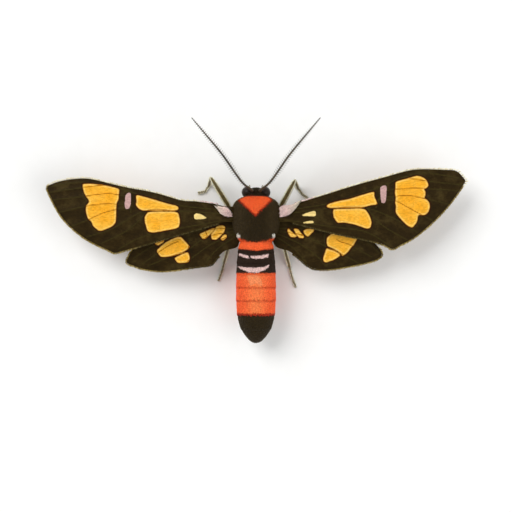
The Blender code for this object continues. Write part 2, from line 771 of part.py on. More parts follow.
def build_moth():
    for leftover in list(bpy.data.objects):
        bpy.data.objects.remove(leftover, do_unlink=True)
    moth = bpy.data.objects.new("moth", None)
    bpy.context.collection.objects.link(moth)
    add_thorax(moth)
    add_abdomen(moth)
    add_head(moth)
    add_proboscis(moth)
    for word, side in SIDES.items():
        add_eye(f"eye_{word}", side, moth)
        add_antenna(f"antenna_{word}", side, moth)
        add_palp(f"palp_{word}", side, moth)
        add_tegula(f"tegula_{word}", side, moth)
        add_wing(f"forewing_{word}", side, FOREWINGS[side], 0.0, moth)
        add_wing(f"hindwing_{word}", side, HINDWINGS[side], HINDWING_DROP, moth)
        for place, leg in LEGS.items():
            add_leg(f"leg_{place}_{word}", side, leg, moth)


build_moth()
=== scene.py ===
# %% [markdown]
# # A spotted day-flying moth, life size
#
# This lesson dresses a measured model of a moth that stands on the floor with its wings
# spread. The measured model says where every part is and how big it is. Here each part gets
# its skin, its hair and scales, its wing pattern and its light.
#
# A moth is covered in scales. They are flat, hollow blades of cuticle, a tenth of a
# millimetre or two long. Those on the back are drawn out into soft hair, those on the wings
# lie like roof tiles. All colour of the animal sits in them.

# %% Load the measured moth
import math

import bmesh
import bpy
import numpy as np
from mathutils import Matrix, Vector
from mathutils.geometry import delaunay_2d_cdt


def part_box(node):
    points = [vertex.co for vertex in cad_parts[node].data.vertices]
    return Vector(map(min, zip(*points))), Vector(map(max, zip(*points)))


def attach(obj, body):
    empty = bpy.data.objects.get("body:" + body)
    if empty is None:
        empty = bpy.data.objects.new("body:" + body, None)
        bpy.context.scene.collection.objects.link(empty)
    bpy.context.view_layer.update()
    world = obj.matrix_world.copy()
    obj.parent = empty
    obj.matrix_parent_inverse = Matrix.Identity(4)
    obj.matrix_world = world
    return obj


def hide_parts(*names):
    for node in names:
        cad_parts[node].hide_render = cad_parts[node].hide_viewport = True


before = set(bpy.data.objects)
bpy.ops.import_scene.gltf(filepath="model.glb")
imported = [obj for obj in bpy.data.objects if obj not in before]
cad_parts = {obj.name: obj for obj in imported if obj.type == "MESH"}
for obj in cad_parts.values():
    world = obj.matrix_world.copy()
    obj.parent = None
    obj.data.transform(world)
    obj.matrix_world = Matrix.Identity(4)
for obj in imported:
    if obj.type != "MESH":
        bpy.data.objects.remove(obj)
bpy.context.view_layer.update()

# %% [markdown]
# ## Places on the moth
#
# All shapes are drawn in millimetres, in the moth's own directions: out from the middle
# (plus is the moth's left), ahead from the line of its shoulders, and up from the floor.
# The shoulder line is found from the tip of the tail, which lies a known length behind it.

# %% Millimetres and places
MM = 0.001
TAIL_REACH = 15.40
SHOULDER_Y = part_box("abdomen_tip")[1].y / MM - TAIL_REACH
SIDES = {"left": 1, "right": -1}


def spot(out, ahead, up):
    """Places in the scene, in mm, for values or arrays of out, ahead and up."""
    out, ahead, up = np.broadcast_arrays(np.asarray(out, float), ahead, up)
    return np.stack([out, SHOULDER_Y - ahead, up], axis=-1)


def unit(vectors):
    """Vectors made one long."""
    return vectors / np.maximum(np.linalg.norm(vectors, axis=-1, keepdims=True), 1e-9)


print("shoulder line at y, mm:", round(SHOULDER_Y, 2))

# %% [markdown]
# Most outlines of an animal are smooth. A few points are enough when a Catmull-Rom curve
# runs through them: it passes each point in the direction of its two neighbours.

# %% Smooth lines through points
def smooth(points, steps, closed=False):
    """A smooth curve through points, with a number of steps between each two."""
    points = np.asarray(points, float)
    if closed:
        padded = np.concatenate([points[-1:], points, points[:2]])
    else:
        padded = np.concatenate([points[:1], points, points[-1:]])
    share = np.linspace(0, 1, steps, endpoint=False)[:, None]
    pieces = []
    for a, b, c, d in zip(padded, padded[1:], padded[2:], padded[3:]):
        pieces.append(0.5 * (2 * b + (c - a) * share + (2 * a - 5 * b + 4 * c - d) * share ** 2
                             + (3 * b - a - 3 * c + d) * share ** 3))
    if not closed:
        pieces.append(points[-1:])
    return np.concatenate(pieces)


def walked(points):
    """Distance walked along a line of points, at each of them."""
    return np.concatenate([[0.0], np.cumsum(np.linalg.norm(np.diff(points, axis=0), axis=1))])


def spaced(points, step):
    """The same line with its points one step apart."""
    length = walked(points)
    goals = np.linspace(0, length[-1], max(2, round(length[-1] / step) + 1))
    return np.stack([np.interp(goals, length, points[:, k]) for k in range(points.shape[1])], 1)


print("a smooth line of", len(smooth([(0, 0), (1, 1), (2, 0)], 6)), "points")

# %% [markdown]
# Patterns need to know how far a place is from a line: a vein, or the border of a wing
# spot. A signed distance is above zero inside a closed border and below zero outside. It
# changes evenly from corner to corner of a mesh, so that a border stays crisp even where
# the mesh is coarse.

# %% Distances to lines and borders
def line_distance(places, line):
    """Distance from flat places to a line of points."""
    start, along = line[:-1], np.diff(line, axis=0)
    away = places[:, None, :] - start[None]
    share = (away * along).sum(-1) / np.maximum((along ** 2).sum(-1), 1e-9)
    away = away - along * np.clip(share, 0, 1)[..., None]
    return np.sqrt((away ** 2).sum(-1).min(1))


def border_distance(places, border):
    """Signed distance from flat places to a closed border, above zero inside it."""
    border = np.asarray(border, float)
    after = np.roll(border, -1, axis=0)
    x, y = places[:, 0, None], places[:, 1, None]
    spans = (border[:, 1] > y) != (after[:, 1] > y)
    rise = np.where(after[:, 1] == border[:, 1], 1e-9, after[:, 1] - border[:, 1])
    crossing = border[:, 0] + (after[:, 0] - border[:, 0]) * (y - border[:, 1]) / rise
    inside = (spans & (x < crossing)).sum(1) % 2 == 1
    distance = line_distance(places, np.concatenate([border, border[:1]]))
    return np.where(inside, distance, -distance)


def step_in(distance, width):
    """A soft step: 0 well below zero, 1 well above it, over a width."""
    share = np.clip(0.5 + distance / width, 0, 1)
    return share * share * (3 - 2 * share)


print("half way in:", step_in(np.array([0.0]), 0.1))

# %% [markdown]
# ## Meshes from arrays
#
# A coat holds tens of thousands of small blades. Adding them one at a time is slow, so each
# mesh is made at once from arrays of corners and faces. Extra values can ride along on the
# corners, such as the colour of the coat or the distance to a vein, and a material reads
# them by name.

# %% One mesh object from arrays
def make_piece(name, corners, faces, material, slot, values=None, marks=None):
    """A mesh object from corners in mm and faces of three or four corner numbers. values
    are numbers or colours for each corner by name, marks are the coat's places to bake at."""
    mesh = bpy.data.meshes.new(name)
    mesh.vertices.add(len(corners))
    mesh.vertices.foreach_set("co", (np.asarray(corners) * MM).astype(np.float32).ravel())
    sides = faces.shape[1]
    mesh.loops.add(faces.size)
    mesh.loops.foreach_set("vertex_index", faces.astype(np.int32).ravel())
    mesh.polygons.add(len(faces))
    mesh.polygons.foreach_set("loop_start", np.arange(0, faces.size, sides, dtype=np.int32))
    for label, data in (values or {}).items():
        data = np.asarray(data, float)
        kind = "FLOAT_COLOR" if data.ndim == 2 else "FLOAT"
        layer = mesh.attributes.new(label, kind, "POINT")
        if data.ndim == 2:
            data = np.concatenate([data, np.ones((len(data), 1))], axis=1)
        layer.data.foreach_set("color" if data.ndim == 2 else "value",
                               data.astype(np.float32).ravel())
    if marks is not None:
        layer = mesh.uv_layers.new(name="OFBake")
        layer.data.foreach_set("uv", marks[faces.ravel()].astype(np.float32).ravel())
    mesh.update(calc_edges=True)
    mesh.validate()
    mesh.shade_smooth()
    mesh.materials.append(material)
    piece = bpy.data.objects.new(name, mesh)
    bpy.context.collection.objects.link(piece)
    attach(piece, "root")
    return piece


def joined(parts):
    """Several lots of corners and faces as one."""
    corners, faces, count = [], [], 0
    for some_corners, some_faces in parts:
        corners.append(some_corners)
        faces.append(some_faces + count)
        count += len(some_corners)
    return np.concatenate(corners), np.concatenate(faces)


def tube_faces(rings, sides, capped=True):
    """Faces of a tube of rings, in threes, with its two ends closed."""
    ring, side = np.meshgrid(np.arange(rings - 1), np.arange(sides), indexing="ij")
    after = (side + 1) % sides
    a, b = ring * sides + side, ring * sides + after
    c, d = a + sides, b + sides
    faces = [np.stack([a, b, d], -1).reshape(-1, 3), np.stack([a, d, c], -1).reshape(-1, 3)]
    if capped:
        fan = np.arange(1, sides - 1)
        last = (rings - 1) * sides
        faces.append(np.stack([0 * fan, fan + 1, fan], -1))
        faces.append(np.stack([last + 0 * fan, last + fan, last + fan + 1], -1))
    return np.concatenate(faces)


print("a tube of 3 rings of 6 has", len(tube_faces(3, 6)), "faces")

# %% [markdown]
# ## Finishes
#
# Every finish is a Principled material with a few nodes that give it grain. Colours are
# written as on a screen, in sRGB, and turned into the linear values that light adds up in.

# %% Colours and nodes
def linear(hex_colour):
    """An sRGB hex value as a linear RGB colour."""
    levels = np.array([int(hex_colour[k:k + 2], 16) for k in (1, 3, 5)]) / 255
    return np.where(levels <= 0.04045, levels / 12.92, ((levels + 0.055) / 1.055) ** 2.4)


def add_node(tree, kind, settings, inputs, stops=()):
    """Adds a node with its settings, a value or a link for each input, and a ramp's stops."""
    node = tree.nodes.new("ShaderNode" + kind)
    for name, value in settings.items():
        setattr(node, name, value)
    for name, value in inputs.items():
        if isinstance(value, bpy.types.NodeSocket):
            tree.links.new(value, node.inputs[name])
        else:
            node.inputs[name].default_value = value
    if stops:
        elements = node.color_ramp.elements
        for place, _ in stops[1:-1]:
            elements.new(place)
        elements[0].position, elements[len(stops) - 1].position = stops[0][0], stops[-1][0]
        for element, (_, hex_colour) in zip(elements, stops):
            element.color = (*linear(hex_colour), 1)
    return node


def new_finish(name, roughness, ior, sheen=0.0, gloss=0.5):
    """A material with its shader's even values set, its tree, its shader, and the place on
    the object that patterns are read at."""
    material = bpy.data.materials.new(name)
    material.use_nodes = True
    shader = material.node_tree.nodes["Principled BSDF"]
    shader.inputs["Roughness"].default_value = roughness
    shader.inputs["IOR"].default_value = ior
    shader.inputs["Metallic"].default_value = 0.0
    shader.inputs["Sheen Weight"].default_value = sheen
    shader.inputs["Specular IOR Level"].default_value = gloss
    place = add_node(material.node_tree, "TexCoord", {}, {}).outputs["Object"]
    return material, material.node_tree, shader, place


print("vermilion in linear light:", linear("#F4542A").round(3))

# %% [markdown]
# **Hair scales.** The coat of the back is chitin, an insect's horn, drawn out into hollow
# ribbed hairs. They are dry and matt, with a soft bright edge where light grazes them, so
# the finish is rough with some sheen. Each blade carries its own colour, and a fine noise
# makes the strands differ along their length.

# %% Finish: chitin hair
CHITIN_IOR = 1.56
STRAND_GRAIN = 0.12
# Hollow ribbed scales swallow most of the light that a smooth surface would throw back.
SCALE_GLOSS = 0.1


def hair_finish(name, roughness, sheen, streak):
    """Dry chitin hair that takes its colour from each blade."""
    material, tree, shader, place = new_finish(name, roughness, CHITIN_IOR, sheen, SCALE_GLOSS)
    shader.inputs["Sheen Roughness"].default_value = 0.4
    colour = add_node(tree, "Attribute", {"attribute_name": "paint"}, {})
    grain = add_node(tree, "TexNoise", {}, {"Vector": place, "Scale": 1 / (STRAND_GRAIN * MM),
                                            "Detail": 2.0})
    level = add_node(tree, "MapRange", {}, {"Value": grain.outputs["Fac"], "From Min": 0.3,
                                            "From Max": 0.7, "To Min": 1 - streak,
                                            "To Max": 1 + streak})
    shade = add_node(tree, "VectorMath", {"operation": "SCALE"},
                     {0: colour.outputs["Color"], "Scale": level.outputs["Result"]})
    tree.links.new(shade.outputs["Vector"], shader.inputs["Base Color"])
    bump = add_node(tree, "Bump", {}, {"Height": grain.outputs["Fac"], "Strength": 0.3,
                                       "Distance": 0.02 * MM})
    tree.links.new(bump.outputs["Normal"], shader.inputs["Normal"])
    return material


chitin_hair = hair_finish("chitin hair", 0.72, 0.02, 0.22)
chitin_scales = hair_finish("chitin scales", 0.55, 0.01, 0.16)
print("hair and scale finishes:", chitin_hair.name, "and", chitin_scales.name)

# %% [markdown]
# ## The body's skin
#
# Head, thorax and abdomen are one flesh under the coat, so they are one closed skin. It is
# a loft: rings along the body, each given by its half width, its top, its bottom and the
# height of its widest place. It stays inside the measured body by the depth of the coat.
#
# The abdomen's rings swell to the rear edge of each segment and step in behind it, as the
# horny plates of a real abdomen overlap like the rings of a telescope.

# %% Sections of the body
SQUARENESS = 2.15
# Place ahead, half width, top, bottom, height of the widest place.
BODY = np.array([
    (2.44, 0.05, 4.06, 3.94, 4.00), (2.38, 0.40, 4.42, 3.58, 4.00),
    (2.26, 0.70, 4.72, 3.28, 4.00), (2.05, 1.00, 4.98, 3.02, 4.00),
    (1.75, 1.18, 5.08, 2.92, 4.02), (1.55, 1.22, 5.12, 2.95, 4.08),
    (1.42, 1.32, 5.42, 2.98, 4.25), (1.25, 1.62, 5.80, 2.98, 4.55),
    (0.95, 2.10, 6.12, 2.85, 4.65), (0.55, 2.44, 6.36, 2.58, 4.60),
    (0.00, 2.60, 6.54, 2.48, 4.55), (-1.00, 2.66, 6.66, 2.22, 4.50),
    (-2.20, 2.50, 6.56, 2.22, 4.42), (-3.00, 2.16, 6.26, 2.36, 4.35),
    (-3.55, 1.84, 5.96, 2.56, 4.28), (-3.80, 1.82, 5.88, 2.60, 4.26),
    (-4.40, 1.98, 5.90, 2.38, 4.20), (-6.40, 2.19, 5.88, 2.04, 3.95),
    (-9.00, 2.25, 5.58, 1.74, 3.65), (-11.0, 2.22, 5.30, 1.52, 3.40),
    (-12.3, 2.10, 5.01, 1.50, 3.25), (-13.2, 1.88, 4.70, 1.64, 3.15),
    (-13.7, 1.70, 4.48, 1.76, 3.10), (-14.1, 1.47, 4.24, 1.92, 3.05),
    (-14.5, 1.20, 3.98, 2.10, 3.00), (-14.8, 0.95, 3.74, 2.26, 2.98),
    (-15.05, 0.70, 3.50, 2.44, 2.95), (-15.22, 0.42, 3.26, 2.64, 2.94),
    (-15.30, 0.10, 3.02, 2.86, 2.93),
])
PROFILE = smooth(BODY, 8)
PROFILE = PROFILE[np.argsort(PROFILE[:, 0])]
ABDOMEN_START = -3.80
SEGMENT_ENDS = (-4.90, -6.15, -7.40, -8.90, -10.40, -12.07, -13.70)
SEGMENT_RISE = 0.040
# The plates overlap most along the back, and hardly at the sides.
SIDE_RISE_SHARE = 0.4
SEGMENT_LIP = 0.16
RING_STEP = 0.07
BODY_SIDES = 144


def segment_growth(ahead):
    """How much an abdomen section grows towards the rear edge of its segment."""
    growth = np.zeros_like(ahead)
    for start, end in zip((ABDOMEN_START,) + SEGMENT_ENDS, SEGMENT_ENDS + (-TAIL_REACH,)):
        share = (start - ahead) / (start - end)
        inside = (share >= 0) & (share < 1)
        lip = np.clip((ahead - end) / SEGMENT_LIP, 0, 1)
        growth = np.where(inside, SEGMENT_RISE * (share ** 2) * np.sqrt(lip), growth)
    return growth


def body_size(ahead, column):
    """One size of the body's sections at places ahead."""
    return np.interp(ahead, PROFILE[:, 0], PROFILE[:, column])


def body_places(ahead, angle):
    """Points of the skin for arrays of places ahead and angles round it."""
    half_width, top, bottom, middle = (body_size(ahead, k) for k in range(1, 5))
    growth = 1 + segment_growth(ahead) * np.clip((ABDOMEN_START - ahead) / 0.5, 0, 1)
    across, rise = np.cos(angle), np.sin(angle)
    across = np.sign(across) * np.abs(across) ** (2 / SQUARENESS)
    rise = np.sign(rise) * np.abs(rise) ** (2 / SQUARENESS)
    height = np.where(rise > 0, top - middle, middle - bottom)
    widening = 1 + (growth - 1) * SIDE_RISE_SHARE
    return spot(half_width * widening * across, ahead, middle + height * growth * rise)


def body_grid():
    """The skin's rings, spaced evenly along its profile, from head to tail."""
    even = spaced(PROFILE[::-1, :2], RING_STEP)
    angle = np.linspace(2 * math.pi, 0, BODY_SIDES, endpoint=False)
    return body_places(even[:, :1], angle[None])


body = body_grid()
print("body skin:", body.shape[0], "rings of", body.shape[1], "points")

# %% [markdown]
# ## The body's markings
#
# Skin and coat have to show the same markings, or bare skin would flash between the hairs.
# So one function paints both. It takes places on the body and gives their colour: dark olive
# thorax with a vermilion shield and a pale rim on the shoulders, then red, dark, pale pink and
# orange bands on the abdomen, and a dark tail. The lower face is pale. The shield has painted
# shade on its rim and a painted highlight on its front edge, and the orange bands have a
# painted highlight along their top.

# %% Paint of the body
OLIVE, OLIVE_LIGHT, HEAD_DARK = "#33270F", "#54452A", "#2B200C"
VERMILION, VERMILION_HIGHLIGHT, VERMILION_DARK = "#FF6430", "#FF9672", "#A62C14"
ORANGE, ORANGE_HIGHLIGHT, TAIL_DARK = "#FA6030", "#FF8248", "#2B2009"
PINK, BAND_DARK, CREAM = "#E6C4BE", "#281A0E", "#FFF4E4"
ARROW_ORANGE, TAIL_SIDE, SHOULDER_RIM, FACE_PALE = "#FF9660", "#8C7C48", "#F2EAD0", "#C9BD96"
# The thorax ends in a curve: it reaches less far back at its sides, by this times out squared.
REAR_CURVE = 0.11
# How far above a section's widest place the shield's lower edge lies.
SHIELD_LOW = 0.55
# Middle and reach of the cream tufts at the rear corners of the thorax.
TUFT, TUFT_REACH = (2.10, -3.02), 0.20
# The shield seen from above, out and ahead.
SHIELD = ((-1.36, 1.45), (1.62, 1.45), (2.02, 0.90), (0.06, -0.96), (-1.76, 0.86))
PINK_BARS = (
    ((1.90, -5.06), (1.30, -5.20), (0.78, -5.36), (0.80, -5.58), (1.40, -5.48), (1.95, -5.26)),
    ((0.58, -5.36), (-0.40, -5.30), (-1.42, -5.10), (-1.40, -5.42), (-0.70, -5.64),
     (0.30, -5.62), (0.58, -5.54)),
    ((2.15, -6.50), (1.20, -6.62), (0.00, -6.66), (-0.90, -6.58), (-1.50, -6.34),
     (-1.40, -6.62), (-0.90, -6.98), (0.00, -7.24), (0.90, -7.16), (1.70, -6.82)),
)
ARROW = ((1.03, -7.62), (0.80, -7.50), (-0.10, -7.50), (-0.45, -7.75), (-0.82, -8.62),
         (-0.45, -8.70), (0.05, -8.40), (0.62, -8.76))


def body_paint(out, ahead, up):
    """Linear colours of the body's coat at arrays of places."""
    colour = np.tile(linear(OLIVE), (len(out), 1))
    flat = np.stack([out, ahead], 1)
    middle = body_size(ahead, 4)
    above = step_in(up - middle, 0.5)

    def lay(hex_colour, cover):
        nonlocal colour
        cover = cover[:, None]
        colour = colour * (1 - cover) + linear(hex_colour) * cover

    lay(OLIVE_LIGHT, 0.35 * step_in(np.abs(out) - 1.3, 1.2) * above)
    lay(HEAD_DARK, step_in(ahead - 1.56, 0.08))
    shield = border_distance(flat, SHIELD)
    high = step_in(up - middle - SHIELD_LOW, 0.3)
    # Painted shade and highlight on the shield: a darker red rim along its sides and rear point, and a
    # lighter vermilion along its front edge.
    lay(VERMILION_DARK, step_in(shield, 0.10) * high)
    lay(VERMILION, step_in(shield - 0.20, 0.16) * high)
    lay(VERMILION_HIGHLIGHT, step_in(shield, 0.1) * step_in(ahead - 1.28, 0.2) * high * 0.8)
    lay(VERMILION, step_in(-3.75 + REAR_CURVE * out ** 2 - ahead, 0.12))
    lay(BAND_DARK, step_in(-4.72 - ahead + 0.12 * np.abs(out), 0.18))
    lay(ORANGE, step_in(-7.28 - ahead, 0.10))
    # Painted highlight: a lighter orange along the top middle of the orange bands, where a round body
    # catches the light.
    abdomen_highlight = np.exp(-(out / 1.1) ** 2) * above
    lay(ORANGE_HIGHLIGHT, step_in(-7.4 - ahead, 0.4) * step_in(ahead + 12.0, 0.4) * abdomen_highlight)
    for seam in (-8.90, -10.40):
        lay(VERMILION_DARK, 0.55 * np.exp(-((ahead - seam) / 0.07) ** 2))
    lay(VERMILION_DARK, step_in(-11.86 - ahead, 0.16))
    lay(TAIL_DARK, step_in(-12.12 - ahead, 0.08))
    for bar in PINK_BARS:
        lay(PINK, step_in(border_distance(flat, bar), 0.08) * above)
    lay(ARROW_ORANGE, 0.8 * step_in(border_distance(flat, ARROW), 0.10) * above)
    # The tail is lighter along its widest line.
    lay(TAIL_SIDE, 0.7 * np.exp(-((up - middle) / 0.25) ** 2) * step_in(-12.2 - ahead, 0.2))
    tuft = np.hypot(np.abs(out) - TUFT[0], ahead - TUFT[1])
    lay(CREAM, step_in(TUFT_REACH - tuft, 0.1) * above)
    # The shoulders have a pale rim along their widest line, in front of the wings.
    rim = np.exp(-((up - middle) / 0.22) ** 2) * step_in(ahead - 0.30, 0.3)
    lay(SHOULDER_RIM, rim * step_in(1.50 - ahead, 0.1))
    # The lower face is pale, as far up as the middle of the eyes.
    lay(FACE_PALE, 0.85 * step_in(ahead - 1.95, 0.2) * step_in(3.75 - up, 0.25))
    return colour


def body_skin():
    """The skin as a piece that stands for the measured flesh."""
    places = body.reshape(-1, 3)
    ahead = SHOULDER_Y - places[:, 1]
    # The skin shows only deep between the hairs, so its paint is a quarter darker than the coat's:
    # painted shade.
    paint = body_paint(places[:, 0], ahead, places[:, 2]) * 0.75
    skin = make_piece("skin", places, tube_faces(*body.shape[:2]), chitin_scales,
                      "dark_scales", {"paint": paint})
    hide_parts("thorax", "collar", "head", "abdomen_base", "abdomen_middle",
                "abdomen_tip")
    return skin


skin = body_skin()
print("skin:", len(skin.data.polygons), "faces")

# %% [markdown]
# ## A coat of blades
#
# A tuft of hair is a thin tapered blade with a keel, rooted just under the skin. It starts
# at a slant and bends over to lie along the body. Roots are scattered evenly: many random
# places are drawn, and only one is kept in each small cell of space. The draw is seeded, so
# the coat is the same each time.

# %% Scattering roots on a grid of points
def scatter(grid, spacing, seed, closed=True, keep=None):
    """Even random roots on a grid of skin points: places, normals and unwrapped places."""
    draw = np.random.default_rng(seed)
    if closed:
        grid = np.concatenate([grid, grid[:, :1]], axis=1)
    along, round_it = np.gradient(grid, axis=0), np.gradient(grid, axis=1)
    if closed:
        ends = (grid[:, 1] - grid[:, -2]) / 2
        round_it[:, 0], round_it[:, -1] = ends, ends
    normal = unit(np.cross(round_it, along))
    a, b, c = grid[:-1, :-1], grid[1:, :-1], grid[:-1, 1:]
    area = np.linalg.norm(np.cross(b - a, c - a), axis=-1).ravel()
    count = int(7 * area.sum() / spacing ** 2)
    cell = draw.choice(area.size, count, p=area / area.sum())
    row, column = np.divmod(cell, grid.shape[1] - 1)
    s, t = draw.random((2, count, 1))

    def mixed(values):
        low = values[row, column] * (1 - t) + values[row, column + 1] * t
        high = values[row + 1, column] * (1 - t) + values[row + 1, column + 1] * t
        return low * (1 - s) + high * s

    places = mixed(grid)
    box = np.floor(places / spacing).astype(int)
    _, first = np.unique(box, axis=0, return_index=True)
    marks = np.stack([(column + t[:, 0]) / (grid.shape[1] - 1),
                      (row + s[:, 0]) / (grid.shape[0] - 1)], 1)
    places, normals, marks = places[first], unit(mixed(normal))[first], marks[first]
    if keep is not None:
        chosen = keep(places)
        places, normals, marks = places[chosen], normals[chosen], marks[chosen]
    return places, normals, marks


print("roots on the body at 1 mm:", len(scatter(body, 1.0, 1)[0]))

# %% [markdown]
# **Blades on roots.** Each blade remembers where its root is on an unwrapped skin, as a small
# patch. The coat's colours can then be baked without one blade's colour falling on another.

# %% Blades
PATCH = 0.003
# Height of a blade's keel as a share of its width.
KEEL = 0.16
# Share of the length and share of the width: a hair ends in a point, a scale is blunt.
HAIR = ((0.0, 0.55), (0.45, 1.0), (1.0, 0.06))
SCALE = ((0.0, 0.55), (0.6, 1.0), (1.0, 0.55))
BLADE_SIDES = 3
# How deep under the skin a blade is rooted.
ROOT_DEPTH = 0.03


def blades(name, roots, lie, length, width, lift, paint, material, slot, seed, shape=HAIR,
           stray=0.2, fade=(0.7, 1.15)):
    """A coat of tapered blades. lie is the way they point, lift how far they stand off."""
    places, normals, marks = roots
    draw = np.random.default_rng(seed)
    count = len(places)
    lie = lie + stray * draw.normal(size=(count, 3))
    lie = unit(lie - normals * (lie * normals).sum(-1, keepdims=True))
    side = np.cross(normals, lie)
    length = (length * draw.uniform(0.75, 1.15, count))[:, None]
    width = (width * draw.uniform(0.8, 1.2, count))[:, None]
    lift = (lift * draw.uniform(0.6, 1.3, count))[:, None]
    corners, patches, tones = [], [], []
    for share, broad in shape:
        centre = (places - normals * ROOT_DEPTH + lie * length * share
                  + normals * length * lift * (1 - (1 - share) ** 2))
        half = side * width * broad / 2
        keel = normals * width * broad * KEEL
        corners += [centre - half, centre + half, centre + keel]
        for across in (-0.5, 0.5, 0.0):
            patches.append(marks + np.array([across, share - 0.5]) * PATCH)
        # Painted shade: each blade is darker towards its root, which the next blades cover, and lighter
        # towards its tip.
        tones += [fade[0] + (fade[1] - fade[0]) * share] * BLADE_SIDES
    rings = len(shape)
    corners = np.stack(corners, 1)
    patches = np.clip(np.stack(patches, 1), 0.0, 1.0)
    tone = np.array(tones)[None] * draw.uniform(0.82, 1.18, (count, 1))
    paint = np.clip(paint[:, None] * tone[..., None], 0, 1)
    # A blade that would reach into the floor is left out.
    clear = corners[..., 2].min(1) > 0
    corners, paint, patches = corners[clear], paint[clear].reshape(-1, 3), patches[clear]
    patches = patches.reshape(-1, 2)
    first = np.arange(len(corners)) * rings * BLADE_SIDES
    faces = (tube_faces(rings, BLADE_SIDES)[None] + first[:, None, None]).reshape(-1, 3)
    return make_piece(name, corners.reshape(-1, 3), faces, material, slot,
                      {"paint": paint}, patches)


# %% [markdown]
# **Which hair grows where.** The thorax has long olive hair combed back and outwards. The
# shield is set with shorter vermilion hair. The head has the shortest. The abdomen has flat
# scales, finest where they draw the pale bars. Two tufts of cream hair stand at the rear
# corners of the thorax, over a thin red fringe.

# %% Coat of the body
REAR = np.array([0.0, 1.0, 0.0])
# A blade is seen mostly past its middle, because the next ones cover its root.
SHOWN_SHARE = 0.6


def split(places):
    """Out, ahead and up of places on the moth."""
    return places[:, 0], SHOULDER_Y - places[:, 1], places[:, 2]


def on_shield(places):
    out, ahead, up = split(places)
    inside = border_distance(np.stack([out, ahead], 1), SHIELD) > 0
    return inside & (up > body_size(ahead, 4) + SHIELD_LOW)


def on_thorax(places):
    ahead = split(places)[1]
    return (ahead < 1.62) & (ahead > -3.72) & ~on_shield(places)


BANDS_END = -8.90


def on_bands(places):
    ahead = split(places)[1]
    return (ahead < -3.66) & (ahead > BANDS_END)


def on_abdomen(places):
    return split(places)[1] <= BANDS_END


def coat(name, keep, spacing, lie, length, width, lift, material, slot, seed, paint=None,
         **more):
    """Blades where keep says that they show, in one paint or the body's at that place."""
    def shown(places):
        return places + unit(lie(places)) * SHOWN_SHARE * length

    roots = scatter(body, spacing, seed, keep=lambda places: keep(shown(places)))
    if paint is None:
        paint = body_paint(*split(shown(roots[0])))
    else:
        paint = np.tile(paint, (len(roots[0]), 1))
    return blades(name, roots, lie(roots[0]), length, width, lift, paint, material, slot,
                  seed, **more)


def combed_back(splay):
    """Hair that points to the rear and a little out to its own side."""
    def lie(places):
        out = places[:, 0]
        return REAR + np.stack([splay * out / 2.5, 0 * out, 0 * out - 0.05], 1)
    return lie


coat("coat_thorax", on_thorax, 0.090, combed_back(0.5), 0.46, 0.095, 0.26, chitin_hair,
     "dark_scales", 11)
coat("coat_shield", on_shield, 0.072, combed_back(0.35), 0.36, 0.095, 0.22, chitin_hair,
     "red_scales", 12, stray=0.10, fade=(1.0, 1.25))
# The pale bars are narrow, so the scales that draw them are the finest.
coat("coat_bands", on_bands, 0.098, combed_back(0.0), 0.24, 0.13, 0.12, chitin_scales,
     "orange_scales", 16, shape=SCALE, stray=0.08, fade=(0.85, 1.15))
coat("coat_abdomen", on_abdomen, 0.125, combed_back(0.0), 0.32, 0.17, 0.10, chitin_scales,
     "orange_scales", 13, shape=SCALE, stray=0.08, fade=(0.85, 1.15))


def at_corner(places):
    out, ahead, up = split(places)
    return (np.hypot(np.abs(out) - TUFT[0], ahead - TUFT[1]) < TUFT_REACH * 0.8) & (up > 4.6)


def on_rear_edge(places):
    out, ahead, up = split(places)
    edge = -3.66 + REAR_CURVE * out ** 2
    return (np.abs(ahead - edge) < 0.09) & (up > 3.6)


coat("tufts_cream", at_corner, 0.045, combed_back(0.5), 0.42, 0.09, 0.36, chitin_hair,
     "pink_scales", 14, paint=linear(CREAM), stray=0.18, fade=(1.0, 1.2))
coat("fringe_red", on_rear_edge, 0.07, combed_back(0.3), 0.26, 0.08, 0.24, chitin_hair,
     "red_scales", 15, paint=linear(VERMILION), stray=0.1)

# %% [markdown]
# ## Head
#
# The head carries two large compound eyes that take up its sides. An eye is a dome of some
# thousand hexagonal lenses a fiftieth of a millimetre wide, under one clear cuticle, so it
# looks near black and glossy. The lenses are drawn three times too coarse, or they would
# not show.

# %% Finish: lens cuticle
LENS_WIDTH = 0.07


def eye_finish():
    """Near-black lens cuticle with a pattern of small domes under a clear coat."""
    material, tree, shader, place = new_finish("lens cuticle", 0.38, CHITIN_IOR, gloss=0.14)
    shader.inputs["Coat Weight"].default_value = 0.08
    shader.inputs["Coat Roughness"].default_value = 0.05
    cells = add_node(tree, "TexVoronoi", {}, {"Vector": place,
                                              "Scale": 1 / (LENS_WIDTH * MM),
                                              "Randomness": 0.25})
    shade = add_node(tree, "ValToRGB", {}, {"Fac": cells.outputs["Distance"]},
                     ((0.0, "#2B1C0E"), (1.0, "#080503")))
    tree.links.new(shade.outputs["Color"], shader.inputs["Base Color"])
    bump = add_node(tree, "Bump", {"invert": True}, {"Height": cells.outputs["Distance"],
                                                     "Strength": 0.5, "Distance": 0.02 * MM})
    tree.links.new(bump.outputs["Normal"], shader.inputs["Normal"])
    return material


lens_cuticle = eye_finish()
print("eye finish:", lens_cuticle.name)

# %% [markdown]
# **Eyes.** Each compound eye is a dome on the side of the head, open towards the middle. A
# small simple eye, a single lens, stands on the crown behind each feeler.

# %% Compound and simple eyes
EYE_MIDDLE = (0.92, 1.93, 4.05)
EYE_HALF = (0.72, 0.70, 0.92)
OCELLUS_MIDDLE = (0.42, 1.72, 5.10)
OCELLUS_HALF = (0.11, 0.11, 0.11)


